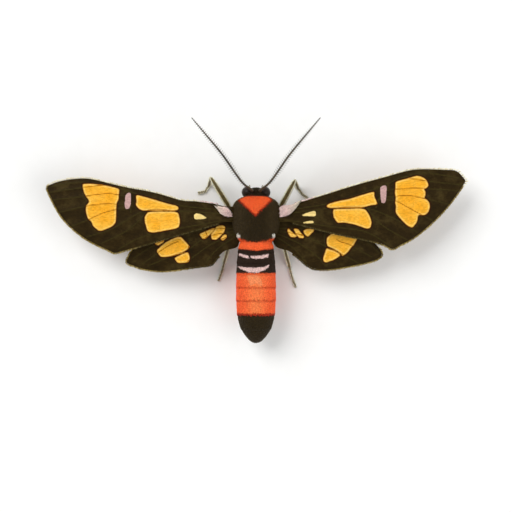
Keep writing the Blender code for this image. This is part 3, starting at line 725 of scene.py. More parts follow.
def eye_grid(side, middle, half, end):
    """A dome as rings from its outer pole, up to a share of the way to its inner pole."""
    turn = np.linspace(0.02, end, 28)[:, None] * math.pi
    around = np.linspace(0, 2 * math.pi, 56, endpoint=False)[None]
    out = middle[0] + half[0] * np.cos(turn) + 0 * around
    ahead = middle[1] - side * half[1] * np.sin(turn) * np.cos(around)
    up = middle[2] + half[2] * np.sin(turn) * np.sin(around)
    return spot(side * out, ahead, up)


for word, side in SIDES.items():
    grid = eye_grid(side, EYE_MIDDLE, EYE_HALF, 0.62)
    eye = make_piece(f"compound_eye_{word}", grid.reshape(-1, 3),
                     tube_faces(*grid.shape[:2])[:, ::-1], lens_cuticle, "eye")
    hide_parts(f"eye_{word}")
    grid = eye_grid(side, OCELLUS_MIDDLE, OCELLUS_HALF, 0.98)
    make_piece(f"simple_eye_{word}", grid.reshape(-1, 3),
               tube_faces(*grid.shape[:2])[:, ::-1], lens_cuticle, "eye")
print("eye:", len(eye.data.polygons), "faces")

# %% [markdown]
# **Coat of the head.** Short dark hair covers the crown and the face, and leaves the eyes
# free. Cream scales stand round the lower rim of each eye.

# %% Coat of the head
def eye_share(places):
    """How far out from the middle of its eye a place lies, 1 on the eye's surface."""
    out, ahead, up = split(places)
    offset = np.stack([np.abs(out), ahead, up], 1) - EYE_MIDDLE
    return np.sqrt(((offset / EYE_HALF) ** 2).sum(1))


def on_head(places):
    out, ahead, up = split(places)
    offset = np.stack([np.abs(out), ahead, up], 1) - OCELLUS_MIDDLE
    return (ahead >= 1.48) & (eye_share(places) > 1.02) & (np.linalg.norm(offset, axis=1) > 0.14)


def combed_forward(places):
    out, ahead, up = split(places)
    return np.stack([0.3 * out, -1.0 + 0 * out, -0.9 * step_in(ahead - 2.2, 0.6)], 1)


coat("coat_head", on_head, 0.070, combed_forward, 0.24, 0.065, 0.35, chitin_hair,
     "dark_scales", 21, stray=0.22)


# The crown is dark: the ring of cream scales is open at its top.
RING_TOP = 4.60


def eye_ring(word, side):
    """Cream scales round the rim where an eye meets the head, fanned outwards."""
    grid = eye_grid(side, EYE_MIDDLE, np.array(EYE_HALF) * 1.03, 0.60)[-4:]
    places, normals, marks = scatter(grid, 0.045, 24 + side,
                                     keep=lambda places: places[:, 2] < RING_TOP)
    normals = normals * side
    middle = spot(side * EYE_MIDDLE[0], EYE_MIDDLE[1], EYE_MIDDLE[2])
    lie = unit((places - middle) * (0.0, 1.0, 1.0)) * 0.85 + np.array([side * 0.50, 0, 0])
    paint = np.tile(linear("#E8DFBE"), (len(places), 1))
    blades(f"rim_cream_{word}", (places, normals, marks), lie, 0.15, 0.045, 0.30, paint,
           chitin_hair, "pink_scales", 27 + side, stray=0.22, fade=(0.85, 1.2))


for word, side in SIDES.items():
    eye_ring(word, side)

# %% [markdown]
# ## Wings
#
# A wing is a membrane a few hundredths of a millimetre thick, stretched between hollow veins
# and tiled with scales on both faces. All four lie on one gently arched sheet, the hind pair
# a step lower. The outline is taken from the measured wing, so it only has to be walked
# round, smoothed and drawn in by the width of the fringe that grows on its rim.

# %% The sheet and the outlines of the wings
ROOT_OUT, SPAN = 3.0, 21.0
SHEET_UP, SHEET_RISE, SHEET_DROOP, SHEET_CAMBER = 5.35, 1.2, 2.8, 0.022
CREST_SLOPE = 0.07
HINDWING_DROP = 0.95
FRINGE_DEPTH = 0.09
# The right forewing's tip is blunter than the measured one: place, push and how far it acts.
BLUNT_TIP, BLUNT_PUSH, BLUNT_REACH = (-22.75, 3.75), 0.34, 0.95
# The root of the left forewing's leading edge lies a little further ahead than measured.
ROOT_LIFTED = ("forewing_left", "tegula_left")
ROOT_LIFT, ROOT_LIFT_END = 0.24, 7.6
ROOT_REACH = 1.1
UNDERLAP, UNDERLAP_END = 1.05, 9.5


def sheet_up(out, ahead, drop=0.0):
    """Height of the wings' sheet at a distance out and a place ahead."""
    share = (np.abs(out) - ROOT_OUT) / SPAN
    off_crest = ahead - CREST_SLOPE * np.abs(out)
    return SHEET_UP + SHEET_RISE * share - SHEET_DROOP * share ** 2 \
        - SHEET_CAMBER * off_crest ** 2 - drop


def node_outline(name):
    """The edge of a flat measured part seen from above, as places out and ahead."""
    mesh = bmesh.new()
    mesh.from_mesh(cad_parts[name].data)
    bmesh.ops.remove_doubles(mesh, verts=mesh.verts, dist=1e-3 * MM)
    mesh.normal_update()
    beside = {}
    for edge in mesh.edges:
        if len(edge.link_faces) == 2:
            rise = [face.normal.z for face in edge.link_faces]
            if rise[0] * rise[1] < 0:
                for a, b in (edge.verts, reversed(edge.verts)):
                    beside.setdefault(a, []).append(b)
    here = next(iter(beside))
    loop, came = [here], None
    while True:
        onward = [v for v in beside[here] if v is not came][0]
        if onward is loop[0]:
            break
        loop.append(onward)
        came, here = here, onward
    line = np.array([(v.co.x / MM, SHOULDER_Y - v.co.y / MM) for v in loop])
    mesh.free()
    return line


def inset(line, depth):
    """A closed outline moved inwards by a depth."""
    before, after = np.roll(line, 1, 0), np.roll(line, -1, 0)
    turn = np.sign((before[:, 0] * line[:, 1] - before[:, 1] * line[:, 0]).sum())
    along = unit(after - before)
    return line + turn * np.asarray(depth).reshape(-1, 1) * np.stack([-along[:, 1], along[:, 0]], 1)


# The line that parts a wing's front from its rear: ahead at the root, ahead at the tip, and
# how far out the tip is.
CHORDS = {"forewing": (-0.45, 2.75, 24.0), "hindwing": (-2.2, -4.6, 14.5)}


def leading(line, kind):
    """True where an outline belongs to the wing's leading edge."""
    low, high, reach = CHORDS[kind]
    chord = low + (high - low) * (np.abs(line[:, 0]) - ROOT_OUT) / (reach - ROOT_OUT)
    return line[:, 1] > chord


def wing_outline(name, reach):
    """A wing's outline drawn in by the fringe's depth, its root carried into the body."""
    line = smooth(node_outline(name), 5, closed=True)
    line = inset(line, FRINGE_DEPTH)
    if name in ROOT_LIFTED:
        rise = step_in(ROOT_LIFT_END - line[:, 0], 2.0) * step_in(line[:, 0] - 2.2, 0.8)
        line[:, 1] += ROOT_LIFT * rise * step_in(line[:, 1] + 0.35, 0.5)
    if name == "forewing_right":
        far = np.linalg.norm(line - BLUNT_TIP, axis=1)
        line = line + BLUNT_PUSH * np.exp(-(far / BLUNT_REACH) ** 2)[:, None] * (-0.6, 0.8)
    out = np.abs(line[:, 0])
    if name.startswith("hindwing"):
        # The front of a hindwing runs on under the forewing, where it isn't seen.
        front = leading(line, "hindwing") & (out > ROOT_OUT - 0.2)
        line[:, 1] += front * UNDERLAP * step_in(UNDERLAP_END - out, UNDERLAP_END)
    near_root = step_in(ROOT_OUT + 0.45 - out, 0.6)
    line[:, 0] -= np.sign(line[:, 0]) * reach * near_root
    return line


WINGS = [(kind, word) for kind in ("forewing", "hindwing") for word in SIDES]
outlines = {(kind, word): wing_outline(f"{kind}_{word}", ROOT_REACH) for kind, word in WINGS}
for (kind, word), line in outlines.items():
    print(kind, word, "outline:", len(line), "points, reaches", round(np.abs(line[:, 0]).max(), 2))

# %% [markdown]
# **Pattern and veins.** The windows are patches of amber scales, edged with a paler line and
# crossed by veins. Each is a short list of corners, in millimetres out and ahead. The left
# and the right wings differ a little, and both are kept.

# %% Windows of the forewings
AMBER, PALE, MAUVE = "window", "pale", "mauve"
PATTERN = {
    ("forewing", "left"): {
        AMBER: (
            ((19.77, 2.87), (18.74, 2.88), (17.70, 2.78), (16.65, 2.58), (15.50, 2.27),
             (15.59, 1.58), (15.60, 1.12), (15.79, 0.74), (15.85, 0.40), (15.89, -0.62),
             (15.93, -1.48), (16.27, -1.96), (17.81, -2.56), (18.55, -1.96), (18.75, -1.40),
             (19.13, -1.13), (19.33, -0.58), (19.39, -0.13), (19.37, 0.28), (18.95, 0.87),
             (19.27, 1.36), (19.57, 1.85), (19.73, 2.48)),
            ((13.63, 1.63), (11.90, 1.15), (10.32, 0.66), (8.81, 0.29), (8.81, -0.20),
             (12.27, -0.20), (12.89, -0.18), (13.32, 0.03), (13.65, 0.46), (13.55, 0.84)),
            ((12.18, -0.32), (8.81, -0.30), (8.60, -1.50), (8.80, -2.19), (11.69, -2.72),
             (12.29, -2.56), (12.62, -1.50), (12.61, -0.83)),
        ),
        PALE: (((7.02, -1.11), (7.02, -0.66), (6.80, -0.50), (6.27, -0.58), (5.51, -1.03),
                (5.89, -1.18), (6.87, -1.23)),),
        MAUVE: (((14.80, 1.60), (14.45, 1.88), (14.18, 1.76), (14.18, 0.60), (14.38, 0.00),
                 (14.82, 0.00), (14.92, 0.60)),),
    },
    ("forewing", "right"): {
        AMBER: (
            ((15.81, 3.04), (16.41, 3.26), (17.29, 3.49), (17.98, 3.71), (18.44, 3.79),
             (19.06, 3.59), (19.45, 3.25), (19.69, 2.69), (19.38, 2.37), (19.10, 2.27),
             (19.32, 1.92), (19.26, 1.48), (19.13, 1.23), (19.52, 1.02), (19.79, 0.64),
             (19.81, 0.15), (19.63, -0.40), (19.18, -0.72), (18.45, -0.64), (18.36, -1.45),
             (17.81, -2.13), (17.20, -1.90), (16.22, -0.91), (15.85, -0.38), (15.90, 0.33),
             (15.78, 0.74), (15.88, 1.13), (15.77, 1.89), (15.85, 2.48)),
            ((7.94, 0.24), (8.21, 0.56), (9.15, 0.84), (10.62, 1.12), (11.87, 1.54),
             (13.43, 1.97), (13.40, 1.45), (13.64, 0.90), (13.77, 0.49), (13.05, 0.42),
             (12.21, 0.19), (10.41, 0.12), (9.15, 0.08), (8.32, 0.08)),
            ((8.78, -0.04), (8.71, -0.35), (8.78, -0.90), (9.23, -1.61), (9.99, -1.54),
             (11.25, -1.78), (12.63, -2.28), (13.01, -2.11), (13.13, -1.53), (12.88, -0.77),
             (12.34, 0.04)),
        ),
        PALE: (((5.01, -0.81), (5.77, -0.43), (6.75, -0.20), (6.82, -0.88)),
               ((5.23, -1.48), (6.53, -1.33), (6.53, -1.66), (5.38, -1.66))),
        MAUVE: (((14.10, 2.47), (14.40, 2.66), (14.82, 2.66), (14.82, 1.55), (14.66, 0.64),
                 (14.21, 0.64), (14.10, 1.71)),),
    },
    ("hindwing", "left"): {
        AMBER: (
            ((11.60, -3.78), (10.45, -3.50), (10.56, -3.76), (11.15, -4.14), (11.46, -4.08)),
            ((11.41, -4.73), (10.99, -5.37), (10.80, -5.45), (9.87, -5.42), (8.52, -5.05),
             (7.75, -4.54), (7.57, -4.26), (8.04, -3.73), (8.55, -3.16), (9.03, -3.20),
             (9.60, -3.41), (10.32, -3.81), (10.83, -4.22)),
            ((9.28, -5.53), (7.83, -4.86), (7.65, -5.21), (7.56, -5.61), (7.75, -6.09),
             (8.95, -6.16), (9.31, -5.71)),
            ((6.50, -2.85), (5.90, -2.60), (5.10, -2.25), (4.72, -2.12), (4.90, -2.50),
             (5.30, -2.95), (5.85, -3.42), (6.10, -3.38)),
            ((5.14, -2.95), (4.74, -2.45), (4.55, -2.03), (4.20, -1.90), (3.83, -1.84),
             (3.50, -2.00), (3.60, -2.55), (4.10, -3.12), (4.56, -3.50), (5.08, -3.45)),
            ((4.10, -3.40), (3.70, -2.95), (3.36, -2.88), (3.34, -3.25), (3.80, -3.60)),
        ),
        PALE: (), MAUVE: (),
    },
    ("hindwing", "right"): {
        AMBER: (
            ((8.69, -2.76), (8.07, -3.28), (8.05, -3.80), (8.13, -4.14), (8.30, -4.29),
             (9.01, -4.59), (9.53, -4.91), (9.76, -5.10), (9.85, -5.35), (9.99, -5.32),
             (10.51, -4.91), (10.90, -4.35), (11.15, -4.12), (11.67, -3.18), (10.98, -3.01),
             (10.40, -2.86)),
            ((8.05, -4.44), (8.48, -4.61), (9.01, -4.72), (9.35, -4.96), (9.61, -5.19),
             (9.59, -5.34), (9.01, -5.75), (8.07, -6.09), (7.79, -6.01), (7.66, -5.71),
             (7.81, -5.19), (7.98, -4.67)),
            ((5.34, -2.50), (5.80, -2.25), (6.62, -2.28), (6.65, -2.46), (6.29, -2.80),
             (5.88, -3.18), (5.55, -2.85)),
            ((4.24, -2.20), (4.82, -2.28), (5.15, -2.74), (5.50, -3.15), (5.41, -3.32),
             (4.92, -3.28), (4.68, -2.98), (4.42, -2.55)),
            ((3.69, -2.16), (4.22, -2.71), (4.66, -3.09), (4.45, -3.22), (3.94, -3.18),
             (3.70, -2.80), (3.55, -2.43)),
        ),
        PALE: (), MAUVE: (),
    },
}
print("amber windows:", sum(len(spots[AMBER]) for spots in PATTERN.values()))

# %% [markdown]
# **Veins.** A vein is a smooth line through a few places, from the root towards the edge.
# Short ones cross between the long ones.

# %% Veins of the wings
VEINS = {
    ("forewing", "left"): (
        ((2.40, -0.30), (9.00, 0.45), (13.85, 1.80), (17.00, 2.75), (20.20, 3.05), (23.40, 2.60)),
        ((2.40, -0.70), (8.81, -0.25), (12.60, -0.25), (16.30, -2.20), (19.40, -3.20)),
        ((12.30, -0.25), (14.40, -2.30), (17.70, -3.95)),
        ((2.40, -1.10), (8.00, -2.10), (12.60, -3.05), (15.70, -4.60)),
        ((14.30, 1.95), (14.30, 0.95), (14.20, -0.42)),
        ((14.45, 1.30), (15.72, 1.62), (17.00, 1.76), (19.18, 1.49), (23.30, 1.05)),
        ((14.55, 0.45), (15.85, 0.51), (17.00, 0.58), (19.13, 0.37), (22.60, -0.40)),
        ((14.45, 0.10), (15.92, -0.06), (17.63, -0.55), (19.03, -1.18), (21.30, -2.05)),
        ((17.00, 2.75), (20.50, 2.35), (23.60, 1.95)),
    ),
    ("forewing", "right"): (
        ((2.40, -0.25), (8.00, 0.55), (13.60, 2.30), (16.70, 3.60), (19.50, 4.10), (23.20, 3.55)),
        ((2.40, -0.70), (8.32, 0.03), (12.30, 0.11), (16.10, -1.30), (18.60, -2.80)),
        ((12.60, 0.02), (14.40, -1.90), (17.20, -3.50)),
        ((2.40, -1.10), (8.00, -1.95), (12.40, -2.60), (15.10, -4.10)),
        ((14.10, 2.60), (14.10, 1.60), (13.60, 0.16)),
        ((14.20, 2.05), (15.93, 2.25), (17.12, 2.31), (18.50, 2.37), (23.30, 2.10)),
        ((14.20, 1.30), (15.85, 1.42), (16.76, 1.51), (17.98, 1.44), (22.30, 0.50)),
        ((14.10, 1.05), (15.85, 0.89), (16.93, 0.36), (18.35, -0.40), (20.50, -1.50)),
        ((16.70, 3.60), (20.20, 3.10), (23.60, 2.80)),
    ),
    ("hindwing", "left"): (
        ((2.40, -2.20), (6.00, -2.40), (9.60, -3.25), (11.80, -4.20), (14.20, -5.70)),
        ((2.40, -2.50), (5.60, -3.20), (7.90, -4.70), (9.90, -5.45), (12.40, -6.50)),
        ((2.40, -2.80), (5.00, -3.95), (7.10, -5.40), (8.60, -6.60)),
        ((2.40, -3.20), (4.30, -4.45), (5.70, -6.00)),
        ((7.85, -2.80), (7.60, -3.60), (7.75, -4.55)),
        ((5.75, -2.50), (5.55, -3.20)),
        ((8.90, -3.70), (10.20, -4.30), (13.10, -6.30)),
    ),
    ("hindwing", "right"): (
        ((2.40, -2.20), (6.00, -2.25), (9.60, -2.60), (12.20, -3.40), (14.10, -5.00)),
        ((2.40, -2.50), (5.60, -3.05), (8.00, -4.30), (9.80, -5.15), (11.80, -6.20)),
        ((2.40, -2.80), (5.00, -3.95), (7.10, -5.50), (8.20, -6.60)),
        ((2.40, -3.20), (4.30, -4.50), (5.80, -6.10)),
        ((7.90, -2.45), (7.80, -3.30), (7.95, -4.25)),
        ((5.45, -2.40), (5.30, -3.10)),
        ((9.18, -3.45), (9.76, -3.77), (10.81, -4.12), (13.30, -5.50)),
    ),
}
print("veins drawn:", sum(len(veins) for veins in VEINS.values()))

# %% [markdown]
# **Finish of the wings.** Wing scales are dry chitin tiles in rows across the wing, a quarter
# of a millimetre long. The finish mixes a brown-black ground, mottled as scales fade and rub
# off, with the amber of the windows. The distances stored on the mesh decide which of them
# shows, with a little noise on the borders, because they run from scale to scale.

# %% Finish: wing scales
SCALE_LONG, SCALE_WIDE = 0.26, 0.12
# The scales of a wing are the mattest of all.
WING_GLOSS = 0.05
MOTTLE, BORDER_GRAIN = 1.6, 0.25


def wing_finish():
    """Dark ground and amber windows, parted by the distances stored on the mesh."""
    material, tree, shader, place = new_finish("wing scales", 0.60, CHITIN_IOR, 0.0, WING_GLOSS)
    tile = (1 / (SCALE_LONG * MM), 1 / (SCALE_WIDE * MM), 0.2 / (SCALE_LONG * MM))
    tiles = add_node(tree, "Mapping", {}, {"Vector": place, "Scale": tile})
    scales = add_node(tree, "TexVoronoi", {}, {"Vector": tiles.outputs["Vector"], "Scale": 1.0,
                                               "Randomness": 0.7})
    mottle = add_node(tree, "TexNoise", {}, {"Vector": place, "Scale": 1 / (MOTTLE * MM),
                                             "Detail": 4.0, "Roughness": 0.65})
    rough_edge = add_node(tree, "TexNoise", {}, {"Vector": place, "Detail": 1.0,
                                                 "Scale": 1 / (BORDER_GRAIN * MM)})

    def near(name, low, high, wander=0.0):
        """From 0 to 1 as a stored distance goes from low to high."""
        stored = add_node(tree, "Attribute", {"attribute_name": name}, {})
        moved = add_node(tree, "Math", {"operation": "MULTIPLY_ADD"},
                         {0: rough_edge.outputs["Fac"], 1: wander,
                          2: stored.outputs["Fac"]})
        shift = wander / 2
        share = add_node(tree, "MapRange", {"interpolation_type": "SMOOTHSTEP"},
                         {"Value": moved.outputs["Value"], "From Min": low + shift,
                          "From Max": high + shift})
        return share.outputs["Result"]

    ground = add_node(tree, "ValToRGB", {}, {"Fac": mottle.outputs["Fac"]},
                      ((0.30, "#221806"), (0.52, "#2D210A"), (0.70, "#3E3216")))
    window = add_node(tree, "Attribute", {"attribute_name": AMBER}, {})
    amber = add_node(tree, "ValToRGB", {}, {"Fac": window.outputs["Fac"]},
                     ((0.0, "#8A5A20"), (0.04, "#DCA244"), (0.10, "#F6CA68"),
                      (0.24, "#F0AE32"), (0.90, "#EFA626")))
    stain = add_node(tree, "MapRange", {}, {"Value": mottle.outputs["Fac"], "From Min": 0.42,
                                            "From Max": 0.75, "To Max": 0.55})
    # Each layer says what it is laid on, where it shows, and its colour or the other stack.
    stacks = {"ground": ground.outputs["Color"], "amber": amber.outputs["Color"]}
    layers = (
        ("ground", near("vein", 0.11, 0.03), "#383012"),
        ("ground", near("edge", 0.07, 0.02), "#4A3C1A"),
        ("ground", near(AMBER, -0.24, -0.05), "#2C1105"),
        ("amber", stain.outputs["Result"], "#F8C250"),
        ("amber", near("vein", 0.10, 0.04), "#A86A0C"),
        ("ground", near(AMBER, -0.05, 0.01, 0.08), "amber"),
        ("ground", near(PALE, -0.02, 0.04, 0.10), "#EFD286"),
        ("ground", near(MAUVE, -0.03, 0.05, 0.10), "#C49E99"),
    )
    for stack, share, over in layers:
        over = stacks[over] if over in stacks else (*linear(over), 1)
        layer = add_node(tree, "Mix", {"data_type": "RGBA"}, {0: share, 6: stacks[stack], 7: over})
        stacks[stack] = layer.outputs[2]
    value = add_node(tree, "SeparateColor", {}, {"Color": scales.outputs["Color"]})
    level = add_node(tree, "MapRange", {}, {"Value": value.outputs["Red"], "To Min": 0.84,
                                            "To Max": 1.14})
    shade = add_node(tree, "VectorMath", {"operation": "SCALE"},
                     {0: stacks["ground"], "Scale": level.outputs["Result"]})
    tree.links.new(shade.outputs["Vector"], shader.inputs["Base Color"])
    bump = add_node(tree, "Bump", {"invert": True}, {"Height": scales.outputs["Distance"],
                                                     "Strength": 0.35, "Distance": 0.03 * MM})
    tree.links.new(bump.outputs["Normal"], shader.inputs["Normal"])
    return material


wing_scales = wing_finish()
print("wing finish:", len(wing_scales.node_tree.nodes), "nodes")

# %% [markdown]
# **Building a membrane.** Inside the outline an even net of points is joined to triangles.
# The same net is used for the upper and the lower face, a tenth of a millimetre apart. The
# veins rise from it as rounded ridges, and the membrane sags a little between them.

# %% Membranes
NET_STEP = 0.17
MEMBRANE = 0.10
VEIN_RISE, VEIN_WIDTH = 0.055, 0.075
SAG, SAG_WIDTH = 0.035, 0.45


def net(outline, step):
    """Points and triangles that fill an outline, the outline's own points first."""
    low, high = outline.min(0), outline.max(0)
    row_step = step * math.sqrt(0.75)
    rows = np.arange(low[1], high[1], row_step)
    grid = []
    for k, row in enumerate(rows):
        line = np.arange(low[0] + step * 0.5 * (k % 2), high[0], step)
        grid.append(np.stack([line, np.full_like(line, row)], 1))
    grid = np.concatenate(grid)
    grid = grid[border_distance(grid, outline) > 0.55 * step]
    points = np.concatenate([outline, grid])
    count = len(outline)
    rim = [(k, (k + 1) % count) for k in range(count)]
    flat, _, faces, *_ = delaunay_2d_cdt([Vector(p) for p in points], rim, [], 1, 1e-6)
    return np.array([tuple(p) for p in flat]), np.array(faces)


def rounded(border, rounds=2, cut=0.15):
    """A border with its corners cut off, and the new corners cut again."""
    for _ in range(rounds):
        after = np.roll(border, -1, axis=0)
        border = np.stack([border + (after - border) * cut, after + (border - after) * cut], 1)
        border = border.reshape(-1, 2)
    return border


def best_distance(places, borders):
    """Signed distance to the nearest of several borders."""
    if not borders:
        return np.full(len(places), -9.0)
    return np.max([border_distance(places, border) for border in borders], axis=0)


def vein_lines(kind, word):
    """The smooth lines of a wing's veins, out and ahead."""
    side = SIDES[word]
    return [smooth(vein, 8) * (side, 1) for vein in VEINS[kind, word]]


def membrane(kind, word):
    """One wing: its membrane with raised veins, and the distances its finish reads."""
    side, drop = SIDES[word], HINDWING_DROP * (kind == "hindwing")
    outline = outlines[kind, word]
    rim = spaced(np.concatenate([outline, outline[:1]]), NET_STEP)[:-1]
    places, faces = net(rim, NET_STEP)
    vein = np.min([line_distance(places, line) for line in vein_lines(kind, word)], axis=0)
    edge = np.abs(border_distance(places, rim))
    middle = sheet_up(places[:, 0], places[:, 1], drop)
    middle = middle - SAG * (1 - np.exp(-(vein / SAG_WIDTH) ** 2)) * step_in(edge - 0.4, 0.8)
    ridge = VEIN_RISE * np.exp(-(vein / VEIN_WIDTH) ** 2) + 0.04 * np.exp(-(edge / 0.12) ** 2)
    half = MEMBRANE / 2 * (0.4 + 0.6 * step_in(edge - 0.15, 0.4))
    top = spot(places[:, 0], places[:, 1], middle + half + ridge)
    bottom = spot(places[:, 0], places[:, 1], middle - half - 0.5 * ridge)
    count, rim_count = len(places), len(rim)
    a = np.arange(rim_count)
    b = (a + 1) % rim_count
    rim_faces = np.concatenate([np.stack([a, b, b + count], 1), np.stack([a, b + count, a + count], 1)])
    turn = border_turn(rim)
    if turn < 0:
        rim_faces = rim_faces[:, ::-1]
    flat = places[faces]
    way = np.cross(flat[:, 1] - flat[:, 0], flat[:, 2] - flat[:, 0])
    faces = np.where((way > 0)[:, None], faces[:, ::-1], faces)
    all_faces = np.concatenate([faces, faces[:, ::-1] + count, rim_faces])
    values = {"vein": np.tile(vein, 2), "edge": np.tile(edge, 2)}
    for label, borders in PATTERN[kind, word].items():
        borders = [rounded(np.array(border) * (side, 1)) for border in borders]
        values[label] = np.tile(best_distance(places, borders), 2)
    wing = make_piece(f"wing_{kind}_{word}", np.concatenate([top, bottom]), all_faces,
                      wing_scales, "wing_scales", values)
    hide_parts(f"{kind}_{word}")
    return wing


def border_turn(line):
    """Above zero for an outline that turns left as out and ahead are drawn."""
    after = np.roll(line, -1, 0)
    return np.sign((line[:, 0] * after[:, 1] - line[:, 1] * after[:, 0]).sum())


for kind, word in WINGS:
    wing = membrane(kind, word)
    print(wing.name, len(wing.data.polygons), "faces")

# %% [markdown]
# **Fringe.** Long narrow scales stand out from the outer and rear edge of a wing, tan with
# darker ones between, and are dark where the forewing lies on the hindwing. Pale scales are
# set along the leading edge in a dotted line, which turns pink near the root.

# %% Fringes and costal scales
FRINGE_STEP, COSTA_STEP = 0.048, 0.27
TEGULA_PINK, TEGULA_GREY = "#F2D2CC", "#DCD5BC"
COSTA_PINK_END = 6.4
# Where the rear edge of a forewing leaves the hindwing, and its fringe turns light.
FREE_EDGE = {"forewing": 14.2, "hindwing": 8.0}
# How far outside the root both rows of blades begin.
EDGE_START = 1.2


def edge_blades(kind, word, front, step, name, length, width, lift, shades, seed):
    """A row of blades on a wing's leading edge, or on its outer and rear edge."""
    side, drop = SIDES[word], HINDWING_DROP * (kind == "hindwing")
    draw = np.random.default_rng(seed)
    outline = outlines[kind, word]
    line = spaced(np.concatenate([outline, outline[:1]]), step)[:-1]
    along = unit(np.roll(line, -1, 0) - np.roll(line, 1, 0))
    outward = np.stack([along[:, 1], -along[:, 0]], 1) * border_turn(line)
    chosen = (leading(line, kind) == front) & (np.abs(line[:, 0]) > ROOT_OUT + EDGE_START)
    line, outward = line[chosen], outward[chosen]
    places = spot(line[:, 0], line[:, 1], sheet_up(line[:, 0], line[:, 1], drop) + 0.02)
    lie = np.stack([outward[:, 0], -outward[:, 1], 0 * line[:, 0] - 0.1], 1)
    if front:
        lie = lie * 0.8 + np.array([side * 1.0, 0, 0.25])
    normals = np.tile([0.0, 0.0, 1.0], (len(line), 1))
    marks = (line - outline.min(0)) / (outline.max(0) - outline.min(0)) * 0.98 + 0.01
    colours = np.stack([linear(shade) for shade in shades])
    paint = colours[draw.integers(0, len(colours), len(line))]
    out = np.abs(line[:, 0])[:, None]
    if front:
        root = step_in(COSTA_PINK_END - out, 0.6)
        paint = paint * (1 - root) + linear(TEGULA_PINK) * root
    else:
        paint = paint * (0.22 + 0.78 * step_in(out - FREE_EDGE[kind], 3.0))
    return blades(name, (places, normals, marks), lie, length, width, lift, paint,
                  chitin_scales, "wing_scales", seed, stray=0.08, fade=(0.9, 1.15))


for seed, (kind, word) in enumerate(WINGS):
    edge_blades(kind, word, False, FRINGE_STEP, f"fringe_{kind}_{word}", 0.22, 0.08, 0.0,
                ("#B8A264", "#94803F", "#6C5A2A"), 31 + seed)
    edge_blades(kind, word, True, COSTA_STEP, f"costa_{kind}_{word}", 0.34, 0.18, 0.15,
                ("#F6EFCE", "#E6DCB4"), 41 + seed)

# %% [markdown]
# ## Tegulae
#
# A tegula is a flap of skin that covers the root of a forewing like a shoulder guard. On
# this moth a patch of it is set with long pale pink scales, greyer towards its end, and the
# rest is as dark as the thorax. It is a domed shell over its measured outline, with its inner
# end under the thorax's hair.

# %% Tegulae
TEGULA_EDGE_UP, TEGULA_DOME_UP = 0.20, 0.80
# The flap bends down to the thorax here, out from the middle.
TEGULA_HINGE, TEGULA_HINGE_WIDTH = 3.0, 1.0
# How far a flap's root is carried into the body, where the flap starts, and how long it is.
FLAP_REACH, FLAP_START, FLAP_LENGTH = 0.5, 2.4, 2.6
FLAP_THICK, FLAP_HAIR = 0.14, 0.38
FLAP_RINGS, FLAP_SIDES = 14, 64
# The pale patch of each flap seen from above, out and ahead.
TEGULA_PATCH = {
    "left": ((5.30, 0.45), (4.38, 0.30), (3.53, 0.16), (3.15, -0.20), (2.44, -0.75),
             (2.40, -1.20), (2.90, -1.10), (3.86, -0.78), (4.45, -0.30)),
    "right": ((2.40, 0.10), (2.75, 0.16), (3.79, 0.65), (4.96, 0.90), (5.40, 0.60),
              (4.50, -0.34), (3.53, -0.74), (3.14, -1.20), (2.40, -1.15)),
}


def tegula_grid(word):
    """A flap as rings that shrink from its outline to its middle."""
    outline = wing_outline(f"tegula_{word}", FLAP_REACH)
    outline = spaced(np.concatenate([outline, outline[:1]]), 0.05)
    outline = outline[np.linspace(0, len(outline) - 1, FLAP_SIDES, endpoint=False).astype(int)]
    if border_turn(outline) > 0:
        outline = outline[::-1]
    middle = outline.mean(0)
    share = np.linspace(1, 0.03, FLAP_RINGS)[:, None, None]
    plan = middle + (outline[None] - middle) * share
    dome = TEGULA_EDGE_UP + TEGULA_DOME_UP * (1 - share[..., 0] ** 2)
    dome = dome * step_in(np.abs(plan[..., 0]) - TEGULA_HINGE, TEGULA_HINGE_WIDTH)
    return spot(plan[..., 0], plan[..., 1], sheet_up(plan[..., 0], plan[..., 1]) + dome)


def flap_share(places):
    """Share of the way along a flap, from its start to its end."""
    return (np.abs(places[:, 0]) - FLAP_START) / FLAP_LENGTH


def tegula_paint(places, word):
    """Pink inside the patch, greyer towards its end, and dark around it."""
    out, ahead, _ = split(places)
    reach = flap_share(places)[:, None]
    grey = np.clip(1.6 * reach - 0.6, 0, 1)
    patch = np.array(TEGULA_PATCH[word]) * (SIDES[word], 1)
    inside = step_in(border_distance(np.stack([out, ahead], 1), patch), 0.12)[:, None]
    pink = linear(TEGULA_PINK) * (1 - grey) + linear(TEGULA_GREY) * grey
    return linear(OLIVE) * (1 - inside) + pink * inside


for word, side in SIDES.items():
    grid = tegula_grid(word)
    under = grid[::-1] - np.array([0, 0, FLAP_THICK])
    both = np.concatenate([under, grid])
    rim = tube_faces(*both.shape[:2])
    # The flap's skin lies under its hair, so its paint is a quarter darker than the hair's: painted
    # shade.
    flap = make_piece(f"flap_{word}", both.reshape(-1, 3), rim, chitin_hair, "pink_scales",
                      {"paint": tegula_paint(both.reshape(-1, 3), word) * 0.75})
    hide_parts(f"tegula_{word}")
    roots = scatter(grid, 0.075, 51 + side)
    normals = roots[1] * np.sign(roots[1][:, 2:])
    reach = flap_share(roots[0])
    lie = unit(np.stack([side * 1.0 + 0 * reach, -0.25 - 0.3 * reach, 0 * reach - 0.1], 1))
    paint = tegula_paint(roots[0] + lie * FLAP_HAIR * SHOWN_SHARE, word)
    blades(f"coat_flap_{word}", (roots[0], normals, roots[2]), lie, FLAP_HAIR, 0.11, 0.16,
           paint, chitin_hair, "pink_scales", 61 + side, stray=0.12, fade=(0.9, 1.15))

# %% [markdown]
# ## Legs
#
# A moth's leg is a chain of stiff horny tubes: a short coxa under the body, a stout femur, a
# tibia with spurs at its end, and a foot of five small segments with two claws. Each tube is
# turned from a profile of radii. A leg ends on the floor on its foot segments.

